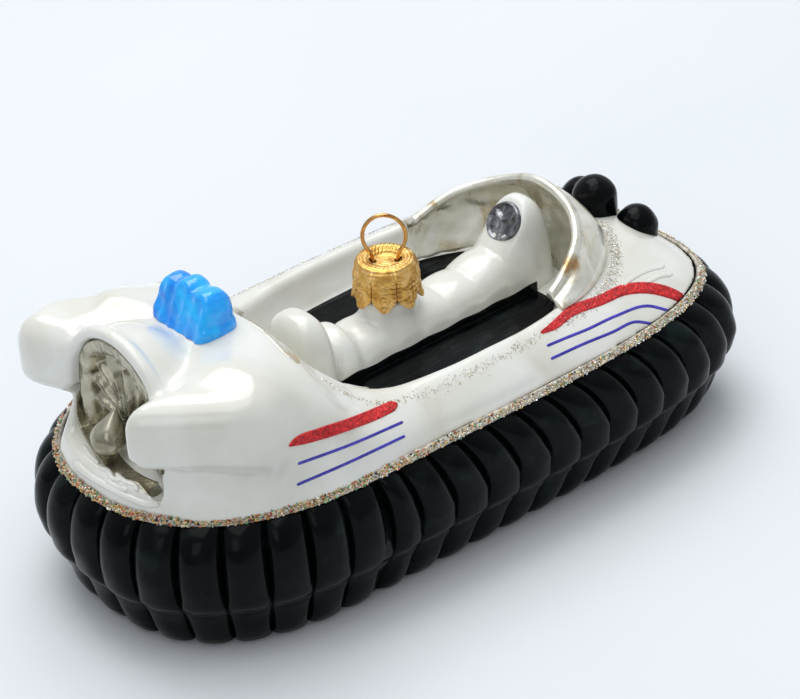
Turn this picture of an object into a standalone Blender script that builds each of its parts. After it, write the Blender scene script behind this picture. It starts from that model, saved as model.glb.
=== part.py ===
"""Glass hanging ornament in the form of a small open hovercraft, with its crown cap and wire hanger.

Frame: +X to the bow, +Y to port, +Z up. The origin is on the ground, under the middle of the skirt.
"""
import math

import bmesh
import bpy
from mathutils import Matrix, Vector

# Units: every size below is in millimetres, and MM turns it into metres where a mesh is made
MM = 0.001
GAP = 0.3

# Plan outline at the skirt's widest line
LENGTH = 150.0
BEAM = 77.4
MID_X = -30.0
AFT_POWER = 2.55
FORE_POWER = 4.7
TAPER = 0.08 / 75.0

# Skirt
LOBES = 49
LOBE_PHASES = (0.0, 0.04, 0.15, 0.37, 0.63, 0.85, 0.96)
LOBE_ROUND = 2.2
LOBE_STRETCH = 0.104
LOBE_SKEW = 0.017
SEAM_Z = 29.1
SEAM_AFT = 5.3
SEAM_SIDE = 4.9
SEAM_FORE = 5.0
SEAM_POWER = 4.2
TRAY_INSET = 8.0
TRAY_Z = 26.0

# Hull and cockpit
RIM_Z = 37.0
COCKPIT_HALF = 23.6
FLOOR_Z = 28.3
FLOOR_TOP = 30.0
FLOOR_AFT = -15.8
SPINE_AFT = -8.5
SPINE_FORE = 29.7
SPINE_HALF = 7.0
SPINE_TOP = 36.4
SPINE_RISE = 2.6
RIB_PITCH = 7.5
RIB_RISE = 0.9
POST_X = 36.6
POST_TOP = 48.8
WHEEL_CENTRE = Vector((33.6, 0.0, 43.8))
WHEEL_TILT = math.radians(36.0)
WHEEL_RADIUS = 3.9

# Half of the windscreen's rim, from the middle to its end: x, y, z of the rim, then x, y of the foot
RIM = [(44.8, 0.0, 49.4, 53.4, 0.0), (44.9, 4.6, 48.6, 53.0, 4.9), (44.1, 9.1, 47.1, 51.3, 10.2),
       (42.3, 12.6, 45.8, 48.2, 14.2), (39.4, 16.1, 44.5, 44.6, 17.6), (36.0, 18.5, 43.3, 40.1, 20.6),
       (32.7, 19.9, 41.8, 35.4, 22.8), (29.6, 20.9, 40.2, 31.0, 24.0), (26.8, 21.4, 38.9, 26.6, 24.4)]
RIM_STEPS = 2
SCREEN_THICK = 2.4

# Three lobes of the beacon, from port to starboard: y, half-length, half-width, top
BEACON_LOBES = [(4.9, 3.7, 3.0, 62.2), (0.8, 4.3, 3.3, 63.1), (-4.0, 4.7, 3.6, 62.6)]

# Three glossy domes on the bow deck: x, y, radius, foot, top
DOMES = [(58.6, 0.0, 4.6, 33.0, 44.1), (62.5, 8.2, 4.3, 30.4, 38.9), (62.5, -8.2, 4.3, 30.4, 38.9)]

# Stern
EAR_Z = 41.2
BEACON_X = -43.4
BEACON_FOOT = 55.2
DUCT_Z = 45.5
DUCT_RADIUS = 12.3
DUCT_BACK = -54.0
DUCT_MOUTH = -61.3
LINING_THICK = 1.0
HUB_Z = 39.9
BLADE_LEANS = (-62, -36, -12, 12, 36, 62)

# Crown cap, neck and wire hanger
CAP_X = 2.7
CAP_TOP = 48.8
CAP_RADIUS = 6.4
NECK_RADIUS = 4.7
NECK_BORE = 3.7
NECK_FOOT = 31.3
PETAL_Z = 40.3
PETALS = 8
SHEET = 0.5
HOLE_OFFSET = 2.5
HOLE_RADIUS = 0.75
WIRE_RADIUS = 0.4
HANGER_ANGLE = math.radians(-40.7)
PIVOT_Z = 47.3
LEG_TIP = 40.6
LOOP_Z = 53.5
LOOP_HALF = 4.2
LOOP_RISE = 4.6

# Colours: red, green, blue, roughness, metallic
FINISH = {
    "pearl": (0.86, 0.86, 0.83, 0.12, 0.0),
    "black": (0.012, 0.013, 0.016, 0.10, 0.0),
    "silver": (0.60, 0.57, 0.50, 0.18, 1.0),
    "blue": (0.01, 0.28, 0.85, 0.10, 0.0),
    "pewter": (0.16, 0.17, 0.19, 0.25, 0.8),
    "gold": (0.83, 0.58, 0.20, 0.28, 1.0),
    "copper": (0.72, 0.42, 0.16, 0.22, 1.0),
    "clear": (0.90, 0.92, 0.92, 0.05, 0.0),
}


def clear_scene():
    for item in list(bpy.data.objects):
        bpy.data.objects.remove(item, do_unlink=True)


def collection(name):
    made = bpy.data.collections.new(name)
    bpy.context.scene.collection.children.link(made)
    return made


def material(name):
    red, green, blue, roughness, metallic = FINISH[name]
    made = bpy.data.materials.get(name) or bpy.data.materials.new(name)
    made.use_nodes = True
    shader = made.node_tree.nodes["Principled BSDF"]
    shader.inputs["Base Color"].default_value = (red, green, blue, 1.0)
    shader.inputs["Roughness"].default_value = roughness
    shader.inputs["Metallic"].default_value = metallic
    made.diffuse_color = (red, green, blue, 1.0)
    return made


def add_object(name, mesh, finish, smooth=True):
    made = bpy.data.objects.new(name, mesh)
    PARTS.objects.link(made)
    mesh.materials.clear()
    mesh.materials.append(material(finish))
    if smooth:
        mesh.shade_smooth()
        mesh.set_sharp_from_angle(angle=math.radians(35))
    return made


def loft_mesh(name, rings):
    """Closed skin over rings of millimetre points, all of one count, with a flat cap at each end."""
    work = bmesh.new()
    rows = [[work.verts.new([value * MM for value in point]) for point in ring] for ring in rings]
    count = len(rows[0])
    for lower, upper in zip(rows, rows[1:]):
        for i in range(count):
            j = (i + 1) % count
            work.faces.new((lower[i], lower[j], upper[j], upper[i]))
    work.faces.new(rows[0])
    work.faces.new(rows[-1])
    bmesh.ops.triangulate(work, faces=[face for face in work.faces if len(face.verts) > 4])
    bmesh.ops.recalc_face_normals(work, faces=work.faces)
    mesh = bpy.data.meshes.new(name)
    work.to_mesh(mesh)
    work.free()
    return mesh


def loft(name, rings, finish):
    return add_object(name, loft_mesh(name, rings), finish)


def cutter(name, rings):
    made = bpy.data.objects.new(name, loft_mesh(name, rings))
    CUTTERS.objects.link(made)
    made.hide_render = True
    made.display_type = "WIRE"
    return made


def boolean(target, tool, operation="DIFFERENCE"):
    step = target.modifiers.new(tool.name, "BOOLEAN")
    step.operation = operation
    step.object = tool
    step.solver = "EXACT"


# Outlines
def outline_point(angle, aft, side, fore, aft_power=AFT_POWER, fore_power=FORE_POWER):
    """Point of the plan outline, drawn in by the three insets at the stern, the sides and the bow."""
    cosine, sine = math.cos(angle), math.sin(angle)
    reach = LENGTH / 2 - MID_X - fore if cosine > 0 else LENGTH / 2 + MID_X - aft
    power = fore_power if cosine > 0 else aft_power
    x = MID_X + math.copysign(reach * abs(cosine) ** (2 / power), cosine)
    y = math.copysign((BEAM / 2 - side) * abs(sine) ** (2 / power), sine)
    return x, y * (1 + TAPER * x)


def angles_at(shares):
    """Angles of the points at these rising shares of the way round the widest outline, from the bow."""
    fine = 3000
    angles = [2 * math.pi * i / fine for i in range(fine + 1)]
    points = [Vector(outline_point(angle, 0, 0, 0)) for angle in angles]
    run = [0.0]
    for here, there in zip(points, points[1:]):
        run.append(run[-1] + (there - here).length)
    result, k = [], 0
    for share in shares:
        goal = run[-1] * share
        while run[k + 1] < goal and k < fine - 1:
            k += 1
        part = (goal - run[k]) / (run[k + 1] - run[k])
        result.append(angles[k] + part * (angles[k + 1] - angles[k]))
    return result


def even_angles(count):
    return angles_at([i / count for i in range(count)])


def seam_half_width(x):
    """Half-width of the hull at the seam with the skirt."""
    aft = x < MID_X
    reach = LENGTH / 2 + MID_X - SEAM_AFT if aft else LENGTH / 2 - MID_X - SEAM_FORE
    power = AFT_POWER if aft else SEAM_POWER
    share = min(1.0, abs(x - MID_X) / reach)
    return (BEAM / 2 - SEAM_SIDE) * (1 - share ** power) ** (1 / power) * (1 + TAPER * x)


def soften(points, rounds=2):
    """Cuts the corners of a closed outline, so that it turns in curves."""
    for _ in range(rounds):
        cut = []
        for here, there in zip(points, points[1:] + points[:1]):
            cut.append(tuple(0.75 * a + 0.25 * b for a, b in zip(here, there)))
            cut.append(tuple(0.25 * a + 0.75 * b for a, b in zip(here, there)))
        points = cut
    return points


def superellipse(count, half_x, half_y, power, centre=(0.0, 0.0)):
    ring = []
    for i in range(count):
        angle = 2 * math.pi * i / count
        cosine, sine = math.cos(angle), math.sin(angle)
        ring.append((centre[0] + math.copysign(half_x * abs(cosine) ** (2 / power), cosine),
                     centre[1] + math.copysign(half_y * abs(sine) ** (2 / power), sine)))
    return ring


# Skirt of fat lobes, whose top is a tray for the hull
def lobe_angles(lean):
    """Angles of one ring of the skirt. Its creases lean aft on each side, most of all near the bow."""
    shares = []
    for lobe in range(LOBES):
        for phase in LOBE_PHASES:
            way = 2 * math.pi * (lobe + phase) / LOBES
            flank = max(-1.0, min(1.0, 2 * math.sin(way))) * 0.75 * (1 + math.cos(way))
            turn = way + 2 * math.pi * lean * flank / LOBES
            shift = LOBE_STRETCH * math.sin(turn) - LOBE_SKEW * math.sin(2 * turn)
            shares.append((turn - shift) / (2 * math.pi))
    return angles_at(shares)


def build_skirt():
    # inset at the stern, the sides and the bow, z, depth of the creases, their lean, power at the bow
    levels = [(10.0, 10.0, 7.5, 0.0, 0.3, 0.12, 4.7), (6.9, 6.9, 5.2, 0.8, 1.8, 0.11, 4.7),
              (4.8, 4.8, 3.7, 3.4, 2.7, 0.06, 4.7), (3.5, 3.5, 2.8, 7.4, 2.1, -0.03, 4.7),
              (2.8, 2.8, 2.4, 10.0, 1.3, -0.14, 4.7), (1.3, 1.3, 1.1, 12.0, 2.0, -0.12, 4.7),
              (0.3, 0.3, 0.3, 15.0, 2.8, -0.07, 4.7), (0.0, 0.0, 0.0, 18.2, 3.1, -0.02, 4.7),
              (0.4, 0.4, 0.4, 21.8, 3.2, 0.03, 4.6), (1.5, 1.5, 1.5, 25.2, 2.9, 0.1, 4.5),
              (3.0, 3.0, 3.0, 27.4, 2.3, 0.19, 4.3),
              (SEAM_AFT, SEAM_SIDE, SEAM_FORE, SEAM_Z, 0.2, 0.26, SEAM_POWER),
              (TRAY_INSET, TRAY_INSET, TRAY_INSET, SEAM_Z, 0.0, 0.26, SEAM_POWER),
              (TRAY_INSET, TRAY_INSET, TRAY_INSET, TRAY_Z, 0.0, 0.26, SEAM_POWER)]
    folds = [1 - (1 - abs(2 * phase - 1) ** LOBE_ROUND) ** (1 / LOBE_ROUND) for phase in LOBE_PHASES]
    rings = []
    for aft, side, fore, z, valley, lean, power in levels:
        ring = []
        for i, angle in enumerate(lobe_angles(lean)):
            dip = valley * folds[i % len(folds)]
            ring.append((*outline_point(angle, aft + dip, side + dip, fore + dip, AFT_POWER, power), z))
        rings.append(ring)
    return loft("skirt", rings, "black")


# Hull: the lower shell and bow deck, joined with the raised stern deck, then cut
def build_hull():
    # inset at the stern, the sides and the bow, z, power at the bow
    tray = TRAY_INSET + GAP
    deck = SEAM_Z + GAP
    levels = [(tray, tray, tray, TRAY_Z + GAP, SEAM_POWER), (tray, tray, tray, deck, SEAM_POWER),
              (SEAM_AFT, SEAM_SIDE, SEAM_FORE, deck, SEAM_POWER),
              (5.5, 6.5, 7.2, 31.2, 4.0), (5.8, 8.2, 9.8, 33.2, 3.7), (6.2, 10.1, 12.6, 35.0, 3.3),
              (6.6, 12.2, 15.2, 36.4, 3.0), (7.2, 13.4, 17.4, RIM_Z, 2.8)]
    angles = even_angles(96)
    rings = [[(*outline_point(angle, aft, side, fore, AFT_POWER, power), z) for angle in angles]
             for aft, side, fore, z, power in levels]
    hull = loft("hull", rings, "pearl")
    boolean(hull, stern_deck_form(), "UNION")
    boolean(hull, cockpit_form())
    for side in (1, -1):
        boolean(hull, cutter("ear_room_%d" % side, ear_rings(side, GAP)))
    boolean(hull, cutter("duct_room", disc_rings(DUCT_RADIUS + GAP, -80.0, DUCT_BACK - GAP, DUCT_Z)))
    boolean(hull, cutter("hood_room", box_rings((-80.0, -12.7, DUCT_Z), (DUCT_BACK - GAP, 12.7, 70.0))))
    for x, y, radius, foot, _ in DOMES:
        boolean(hull, cutter("dome_room_%d" % round(y), pillar_rings(x, y, radius + GAP, foot - GAP, 60)))
    return hull


def stern_deck_form():
    # x, height on the centreline, power of the section, inset from the seam
    stations = [(-14, 36.6, 2.2, 3.0), (-20, 40.3, 2.2, 1.9), (-25, 43.0, 2.2, 1.0), (-30, 47.4, 2.3, 0.6),
                (-35, 54.4, 2.5, 0.4), (-40, 54.8, 3.0, 0.4), (-46, 54.7, 3.8, 0.4), (-50, 53.8, 4.2, 0.4),
                (-56, 52.4, 4.2, 0.4), (-62, 52.0, 4.2, 0.4)]
    rings = []
    for x, top, power, inset in stations:
        half = seam_half_width(x) - inset
        base = SEAM_Z + 1.4
        ring = []
        for i in range(25):
            angle = math.pi * i / 24
            y = math.copysign(half * abs(math.cos(angle)) ** (2 / power), math.cos(angle))
            ring.append((x, y, base + (top - base) * abs(math.sin(angle)) ** (2 / power)))
        rings.append(ring)
    return cutter("stern_deck", rings)


def cockpit_form():
    # z, aft end, fore end, half-width
    levels = [(FLOOR_Z, -26.0, 43.5, 19.6), (FLOOR_TOP, -27.5, 44.0, 20.2), (33.5, -29.5, 45.6, 22.3),
              (RIM_Z, -31.0, 47.0, COCKPIT_HALF), (45.0, -33.0, 47.0, COCKPIT_HALF),
              (60.0, -36.5, 47.0, COCKPIT_HALF)]
    rings = []
    for z, aft, fore, half in levels:
        ring = superellipse(72, (fore - aft) / 2, half, 2.6, ((fore + aft) / 2, 0.0))
        rings.append([(x, y, z) for x, y in ring])
    return cutter("cockpit", rings)


def box_rings(low, high):
    corners = [(low[0], low[1]), (high[0], low[1]), (high[0], high[1]), (low[0], high[1])]
    return [[(x, y, z) for x, y in corners] for z in (low[2], high[2])]


def disc_rings(radius, x_low, x_high, z, count=40):
    ring = superellipse(count, radius, radius, 2.0)
    return [[(x, a, z + b) for a, b in ring] for x in (x_low, x_high)]


def pillar_rings(x, y, radius, low, high, count=28):
    ring = superellipse(count, radius, radius, 2.0, (x, y))
    return [[(a, b, z) for a, b in ring] for z in (low, high)]


# Cockpit floor: one dark strip on each side of the spine
def build_floor():
    for side, label in ((1, "port"), (-1, "starboard")):
        ring = superellipse(72, 33.6, 19.2, 2.6, (8.4, 0.0))
        inner = SPINE_HALF + 0.5
        half = [(x, y) for x, y in ring if y > inner and x > FLOOR_AFT]
        half = [(half[0][0], inner)] + half + [(half[-1][0], inner)]
        half = [(x, side * y) for x, y in half]
        loft("floor_" + label, [[(x, y, z) for x, y in half] for z in (FLOOR_Z + GAP, FLOOR_TOP)], "black")


# Seat spine with soft ribs, the seat's backrest and roll, and the steering post
def spine_ring(x, half, low, top, count=19):
    ring = []
    for i in range(count):
        angle = math.pi * i / (count - 1)
        y = math.copysign(half * abs(math.cos(angle)) ** 0.6, math.cos(angle))
        ring.append((x, y, low + (top - low) * abs(math.sin(angle)) ** 0.6))
    return ring


def build_spine():
    low = FLOOR_Z + GAP
    rings = []
    steps = 18
    for i in range(steps + 1):
        x = SPINE_AFT + (SPINE_FORE - SPINE_AFT) * i / steps
        rib = abs(math.sin(math.pi * (x - SPINE_AFT) / RIB_PITCH)) ** 0.7
        rise = SPINE_RISE * max(0.0, (x - 18.0) / 12.0) ** 1.6
        rings.append(spine_ring(x, SPINE_HALF - 0.7 + 0.7 * rib, low, SPINE_TOP + RIB_RISE * rib + rise))
    spine = loft("seat_spine", rings, "pearl")
    boolean(spine, cutter("neck_room", pillar_rings(CAP_X, 0, NECK_RADIUS + GAP, NECK_FOOT - GAP, 60)))


def cushion(name, aft, fore, half, low, top, finish="pearl"):
    """Upright pillow: a block with a round plan and a round top."""
    middle, reach = (aft + fore) / 2, (fore - aft) / 2
    # share of the height, share of the plan
    levels = [(0.0, 1.0), (0.45, 1.0), (0.68, 0.95), (0.84, 0.83), (0.94, 0.65), (1.0, 0.38)]
    rings = []
    for height, share in levels:
        plan = superellipse(28, reach * share, half * share, 2.8, (middle, 0.0))
        rings.append([(x, y, low + (top - low) * height) for x, y in plan])
    return loft(name, rings, finish)


def build_seat():
    low = FLOOR_Z + GAP
    cushion("seat_backrest", -24.5, -16.3, 8.0, low, 45.8)
    cushion("seat_roll", -15.9, -8.9, 7.2, low, 39.6)


def build_post():
    low = FLOOR_Z + GAP
    # z, centre x, radius
    levels = [(low, 36.9, 6.3), (33.0, 36.9, 6.1), (38.0, 36.7, 5.7), (42.0, POST_X, 5.4),
              (44.6, POST_X, 5.1), (46.6, POST_X, 4.4), (48.0, POST_X, 3.1), (POST_TOP, POST_X, 1.3)]
    rings = [[(x, y, z) for x, y in superellipse(28, radius, radius, 2.0, (centre, 0.0))]
             for z, centre, radius in levels]
    post = loft("steering_post", rings, "pearl")
    outward = Vector((-math.cos(WHEEL_TILT), 0.0, math.sin(WHEEL_TILT)))
    face = cutter("wheel_face", disc_rings(12.0, 0.0, 12.0, 0.0))
    face.matrix_world = face_matrix(WHEEL_CENTRE, outward)
    boolean(post, face)
    seat = WHEEL_CENTRE + outward * GAP
    wheel = loft("steering_wheel", disc_rings(WHEEL_RADIUS, 0.0, 1.0, 0.0, 28), "pewter")
    wheel.matrix_world = face_matrix(seat, outward)
    bevel = wheel.modifiers.new("edge", "BEVEL")
    bevel.width = 0.35 * MM
    bevel.segments = 2


def face_matrix(place, outward):
    """Matrix that puts the x axis along outward, at a place given in millimetres."""
    turn = outward.to_track_quat("X", "Z").to_matrix().to_4x4()
    return Matrix.Translation(place * MM) @ turn


# Windscreen: a mirrored scoop, from its foot on the deck to the rolled rim
def rim_stations():
    """The rim table mirrored to both sides, with a smooth curve through its rows."""
    rows = [(x, -y, z, a, -b) for x, y, z, a, b in reversed(RIM[1:])] + RIM
    stations = []
    for i in range(len(rows) - 1):
        before, here = rows[max(0, i - 1)], rows[i]
        there, after = rows[i + 1], rows[min(len(rows) - 1, i + 2)]
        for step in range(RIM_STEPS):
            t = step / RIM_STEPS
            stations.append([0.5 * (2 * q + (r - p) * t + (2 * p - 5 * q + 4 * r - w) * t ** 2
                                    + (3 * q - p - 3 * r + w) * t ** 3)
                             for p, q, r, w in zip(before, here, there, after)])
    return stations + [list(rows[-1])]


def build_windscreen():
    up = Vector((0.0, 0.0, 1.0))
    rings = []
    for x, y, z, foot_x, foot_y in rim_stations():
        rim, foot = Vector((x, y, z)), Vector((foot_x, foot_y, RIM_Z + GAP))
        outward = Vector((foot_x - 26.0, foot_y * 1.2, 0.0)).normalized()
        high = min(1.0, (z - RIM_Z) / 8.0)
        middle = foot.lerp(rim, 0.5) + outward * 1.7 * high + up * 1.2 * high
        edge = rim - outward * 1.3 - up * 0.3 * high
        lip = rim - outward * 0.6 + up * 0.5 * high
        inner_foot = foot - outward * SCREEN_THICK
        inner_middle = middle - outward * SCREEN_THICK - up * 0.4 * high
        rings.append([tuple(point) for point in (foot, middle, rim, lip, edge, inner_middle, inner_foot)])
    return loft("windscreen", rings, "silver")


# Three glossy domes on the bow deck
def build_domes():
    for (x, y, radius, foot, top), label in zip(DOMES, ("centre", "port", "starboard")):
        shoulder = top - radius
        rings = [[(a, b, foot) for a, b in superellipse(24, radius, radius, 2.0, (x, y))]]
        for step in range(8):
            lift = math.radians(step * 12)
            size = radius * math.cos(lift)
            plan = superellipse(24, size, size, 2.0, (x, y))
            rings.append([(a, b, shoulder + radius * math.sin(lift)) for a, b in plan])
        loft("bow_dome_" + label, rings, "black")


# Stern shoulders, which stand proud of the hull and reach aft past the duct
def ear_rings(side, grow=0.0):
    plan = soften([(-48.4, 13.2), (-47.4, 24.0), (-47.8, 30.6), (-51.4, 31.0), (-55.5, 28.9), (-61.0, 25.0),
                   (-65.6, 21.2), (-69.6, 16.9), (-68.6, 13.1), (-65.5, 12.9), (-57.0, 13.2)])
    centre = (-58.0, 20.0)
    # z, share of the plan, rise of the inner edge
    levels = [(EAR_Z, 0.93, 1.4), (EAR_Z + 0.9, 0.985, 1.4), (EAR_Z + 2.6, 1.0, 1.2), (48.8, 1.0, 0.8),
              (51.2, 0.97, 0.5), (52.8, 0.90, 0.6), (53.7, 0.76, 0.8), (54.0, 0.45, 1.0)]
    if grow:
        levels = [(EAR_Z - grow, 1.0, 0.0), (70.0, 1.0, 0.0)]
    rings = []
    for z, share, rise in levels:
        ring = []
        for x, y in plan:
            arm = Vector((x - centre[0], y - centre[1]))
            arm = arm * share + arm.normalized() * grow
            lift = rise * max(0.0, (22.0 - y) / 9.0)
            ring.append((centre[0] + arm.x, side * (centre[1] + arm.y), z + lift))
        rings.append(ring)
    return rings


def build_ears():
    for side, label in ((1, "port"), (-1, "starboard")):
        loft("stern_shoulder_" + label, ear_rings(side), "pearl")


# Duct: the half-round hood, the mirrored lining and the fan moulded inside it
def build_duct():
    # x, radius of the outer curve about the duct's centre
    stations = [(-49.0, 9.8), (-51.4, 12.2), (-54.2, 13.5), (-58.0, 13.8), (-60.6, 14.1),
                (DUCT_MOUTH, 13.8)]
    rings = []
    for x, radius in stations:
        half = min(12.5, radius * 0.94)
        edge = math.asin(half / radius)
        ring = [(x, radius * math.sin(-edge + 2 * edge * i / 20),
                 DUCT_Z + radius * math.cos(-edge + 2 * edge * i / 20)) for i in range(21)]
        foot = DUCT_Z + 1.0
        ring += [(x, half, foot), (x, -half, foot)]
        rings.append(ring)
    hood = loft("duct_hood", rings, "pearl")
    boolean(hood, cutter("hood_bore", disc_rings(DUCT_RADIUS + GAP, -80.0, DUCT_BACK - GAP, DUCT_Z)))
    boolean(hood, cutter("deck_room", deck_room_rings()))

    back = DUCT_BACK - 2 * GAP - 1.3
    tube = disc_rings(DUCT_RADIUS, DUCT_MOUTH + 0.2, DUCT_BACK - 2 * GAP, DUCT_Z)
    lining = loft("duct_lining", tube, "silver")
    boolean(lining, cutter("lining_bore", disc_rings(DUCT_RADIUS - LINING_THICK, -80.0, back, DUCT_Z)))

    back -= GAP
    # x, radius
    profile = [(back, 2.6), (-60.0, 3.2), (-63.4, 3.8), (-65.8, 3.5), (-67.6, 2.2), (-68.3, 0.7)]
    rings = [[(x, a, HUB_Z + b) for a, b in superellipse(20, radius, radius, 2.0)] for x, radius in profile]
    fan = loft("fan", rings, "silver")
    for turn in BLADE_LEANS:
        lean = math.radians(turn)
        blade = cutter("blade_%d" % turn, box_rings((-59.6, -0.9, 1.0), (back, 0.9, blade_reach(lean))))
        blade.matrix_world = Matrix.Translation((0.0, 0.0, HUB_Z * MM)) @ Matrix.Rotation(lean, 4, "X")
        boolean(fan, blade, "UNION")


def blade_reach(lean):
    """Length from the hub to just short of the lining, along a line at this lean from upright."""
    drop = DUCT_Z - HUB_Z
    room = DUCT_RADIUS - LINING_THICK - GAP - 0.5
    return drop * math.cos(lean) + math.sqrt(room ** 2 - (drop * math.sin(lean)) ** 2)


def deck_room_rings():
    """Room for the deck under the hood's forward part."""
    rings = []
    for x, top in ((-46.0, 57.0), (-50.0, 54.8), (-54.0, 53.6), (DUCT_BACK - GAP, 53.6)):
        rings.append([(x, -14.0, 40.0), (x, 14.0, 40.0), (x, 14.0, top), (x, -14.0, top)])
    return rings


# Beacon: three round lobes side by side across the beam
def build_beacon():
    levels = [(0.0, 1.06), (0.35, 1.0), (0.62, 0.92), (0.82, 0.76), (0.94, 0.54), (1.0, 0.30)]
    lobes = []
    for y, half_x, half_y, top in BEACON_LOBES:
        rings = []
        for height, share in levels:
            plan = superellipse(20, half_x * share, half_y * share, 2.8, (BEACON_X + 0.6 * height, y))
            rings.append([(x, b, BEACON_FOOT + (top - BEACON_FOOT) * height) for x, b in plan])
        lobes.append(rings)
    beacon = loft("beacon", lobes[0], "blue")
    for i, rings in enumerate(lobes[1:]):
        boolean(beacon, cutter("beacon_lobe_%d" % i, rings), "UNION")


# Neck of the glass, the crown cap over it and the wire hanger
def turned(name, profile, finish, steps=32):
    mesh = bpy.data.meshes.new(name)
    count = len(profile)
    points = [(r * MM, 0.0, z * MM) for r, z in profile]
    mesh.from_pydata(points, [(i, (i + 1) % count) for i in range(count)], [])
    made = add_object(name, mesh, finish, smooth=False)
    made.location = (CAP_X * MM, 0.0, 0.0)
    screw = made.modifiers.new("turn", "SCREW")
    screw.steps = steps
    screw.render_steps = steps
    screw.use_merge_vertices = True
    screw.merge_threshold = 0.00001
    screw.use_smooth_shade = True
    return made


def build_neck():
    lip = CAP_TOP - 0.5 - GAP
    turned("neck", [(NECK_RADIUS - 0.3, lip), (NECK_RADIUS, lip - 0.3), (NECK_RADIUS, NECK_FOOT),
                    (NECK_BORE, NECK_FOOT), (NECK_BORE, lip)], "clear", 28)


def build_cap():
    outer = [(0.0, CAP_TOP - 1.2), (2.9, CAP_TOP - 1.2), (3.4, CAP_TOP - 0.2), (5.2, CAP_TOP),
             (5.9, CAP_TOP - 0.8), (CAP_RADIUS, CAP_TOP - 2.2), (CAP_RADIUS, 44.0), (6.6, 42.2),
             (7.0, PETAL_Z)]
    inner = [(7.0 - SHEET, PETAL_Z), (6.1, 42.2), (CAP_RADIUS - SHEET, 44.0),
             (CAP_RADIUS - SHEET, CAP_TOP - 2.2), (5.1, CAP_TOP - 0.5), (3.6, CAP_TOP - 0.7),
             (3.1, CAP_TOP - 1.7), (0.0, CAP_TOP - 1.7)]
    cap = turned("cap", outer + inner, "gold", 40)
    for i in range(PETALS):
        angle = 2 * math.pi * (i + 0.5) / PETALS
        notch = cutter("petal_notch_%d" % i, notch_rings())
        notch.matrix_world = Matrix.Translation((CAP_X * MM, 0, 0)) @ Matrix.Rotation(angle, 4, "Z")
        boolean(cap, notch)
    for side in (1, -1):
        x = CAP_X + side * HOLE_OFFSET * math.cos(HANGER_ANGLE)
        y = side * HOLE_OFFSET * math.sin(HANGER_ANGLE)
        boolean(cap, cutter("wire_hole_%d" % side, pillar_rings(x, y, HOLE_RADIUS, 46.0, 50.0, 16)))
    return cap


def notch_rings():
    """Pointed notch between two petals, as a wedge that widens downwards."""
    face = [(-2.6, PETAL_Z - 0.8), (2.6, PETAL_Z - 0.8), (0.12, 43.0), (-0.12, 43.0)]
    return [[(x, y, z) for y, z in face] for x in (4.9, 9.0)]


def build_hanger():
    """Wire loop over the cap, whose two legs go down through the cap into the neck."""
    route = [(HOLE_OFFSET, LEG_TIP - PIVOT_Z), (HOLE_OFFSET, 44.0 - PIVOT_Z), (HOLE_OFFSET, 0.0),
             (HOLE_OFFSET, 48.6 - PIVOT_Z)]
    start = math.radians(-48)
    for i in range(25):
        angle = start + (math.pi - 2 * start) * i / 24
        route.append((LOOP_HALF * math.cos(angle), LOOP_Z + LOOP_RISE * math.sin(angle) - PIVOT_Z))
    route += [(-u, z) for u, z in reversed(route[:4])]
    curve = bpy.data.curves.new("hanger", "CURVE")
    curve.dimensions = "3D"
    curve.bevel_depth = WIRE_RADIUS * MM
    curve.bevel_resolution = 2
    curve.use_fill_caps = True
    spline = curve.splines.new("POLY")
    spline.points.add(len(route) - 1)
    for point, (u, z) in zip(spline.points, route):
        point.co = (u * MM, 0.0, z * MM, 1.0)
    curve.materials.append(material("copper"))
    hanger = bpy.data.objects.new("hanger", curve)
    hanger.location = (CAP_X * MM, 0.0, PIVOT_Z * MM)
    hanger.rotation_euler = (0.0, 0.0, HANGER_ANGLE)
    PARTS.objects.link(hanger)
    return hanger


clear_scene()
PARTS = collection("hovercraft")
CUTTERS = collection("cutters")

build_skirt()
build_hull()
build_floor()
build_spine()
build_seat()
build_post()
build_windscreen()
build_domes()
build_ears()
build_duct()
build_beacon()
build_neck()
build_cap()
build_hanger()
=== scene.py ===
# Looks of the glass hovercraft ornament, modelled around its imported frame.
# Frame: +X to the bow, +Y to port, +Z up. Sizes here are in millimetres, and MM makes metres of them.
from math import atan2, cos, exp, hypot, pi, radians, sin, sqrt

import bpy
import numpy as np
from mathutils import Matrix, Vector
from mathutils.bvhtree import BVHTree


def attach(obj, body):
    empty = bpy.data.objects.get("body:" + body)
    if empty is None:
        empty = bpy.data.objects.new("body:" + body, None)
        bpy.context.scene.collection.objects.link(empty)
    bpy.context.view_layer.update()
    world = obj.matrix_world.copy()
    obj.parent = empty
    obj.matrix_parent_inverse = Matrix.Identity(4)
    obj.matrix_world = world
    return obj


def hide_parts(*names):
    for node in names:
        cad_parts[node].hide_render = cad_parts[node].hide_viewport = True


MM = 0.001
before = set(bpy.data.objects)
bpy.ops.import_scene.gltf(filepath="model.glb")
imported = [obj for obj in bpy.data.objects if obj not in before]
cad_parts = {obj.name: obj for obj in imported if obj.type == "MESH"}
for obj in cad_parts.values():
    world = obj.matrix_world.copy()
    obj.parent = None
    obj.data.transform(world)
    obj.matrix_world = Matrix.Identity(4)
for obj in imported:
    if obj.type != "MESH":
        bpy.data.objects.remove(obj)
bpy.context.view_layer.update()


# Camera: the photograph's own view
PHOTO_WIDTH, PHOTO_HEIGHT = 800, 699
FOCAL_PIXELS = 3105.2
SENSOR = 36
EYE = Vector((-321.38, -404.04, 354.74))
RIGHT = Vector((0.7566, -0.6519, -0.0501))
UP = Vector((0.3812, 0.3776, 0.8438))
AHEAD = Vector((0.5312, 0.6576, -0.5342))


def add_object(name, data):
    made = bpy.data.objects.new(name, data)
    bpy.context.scene.collection.objects.link(made)
    return made


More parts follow.
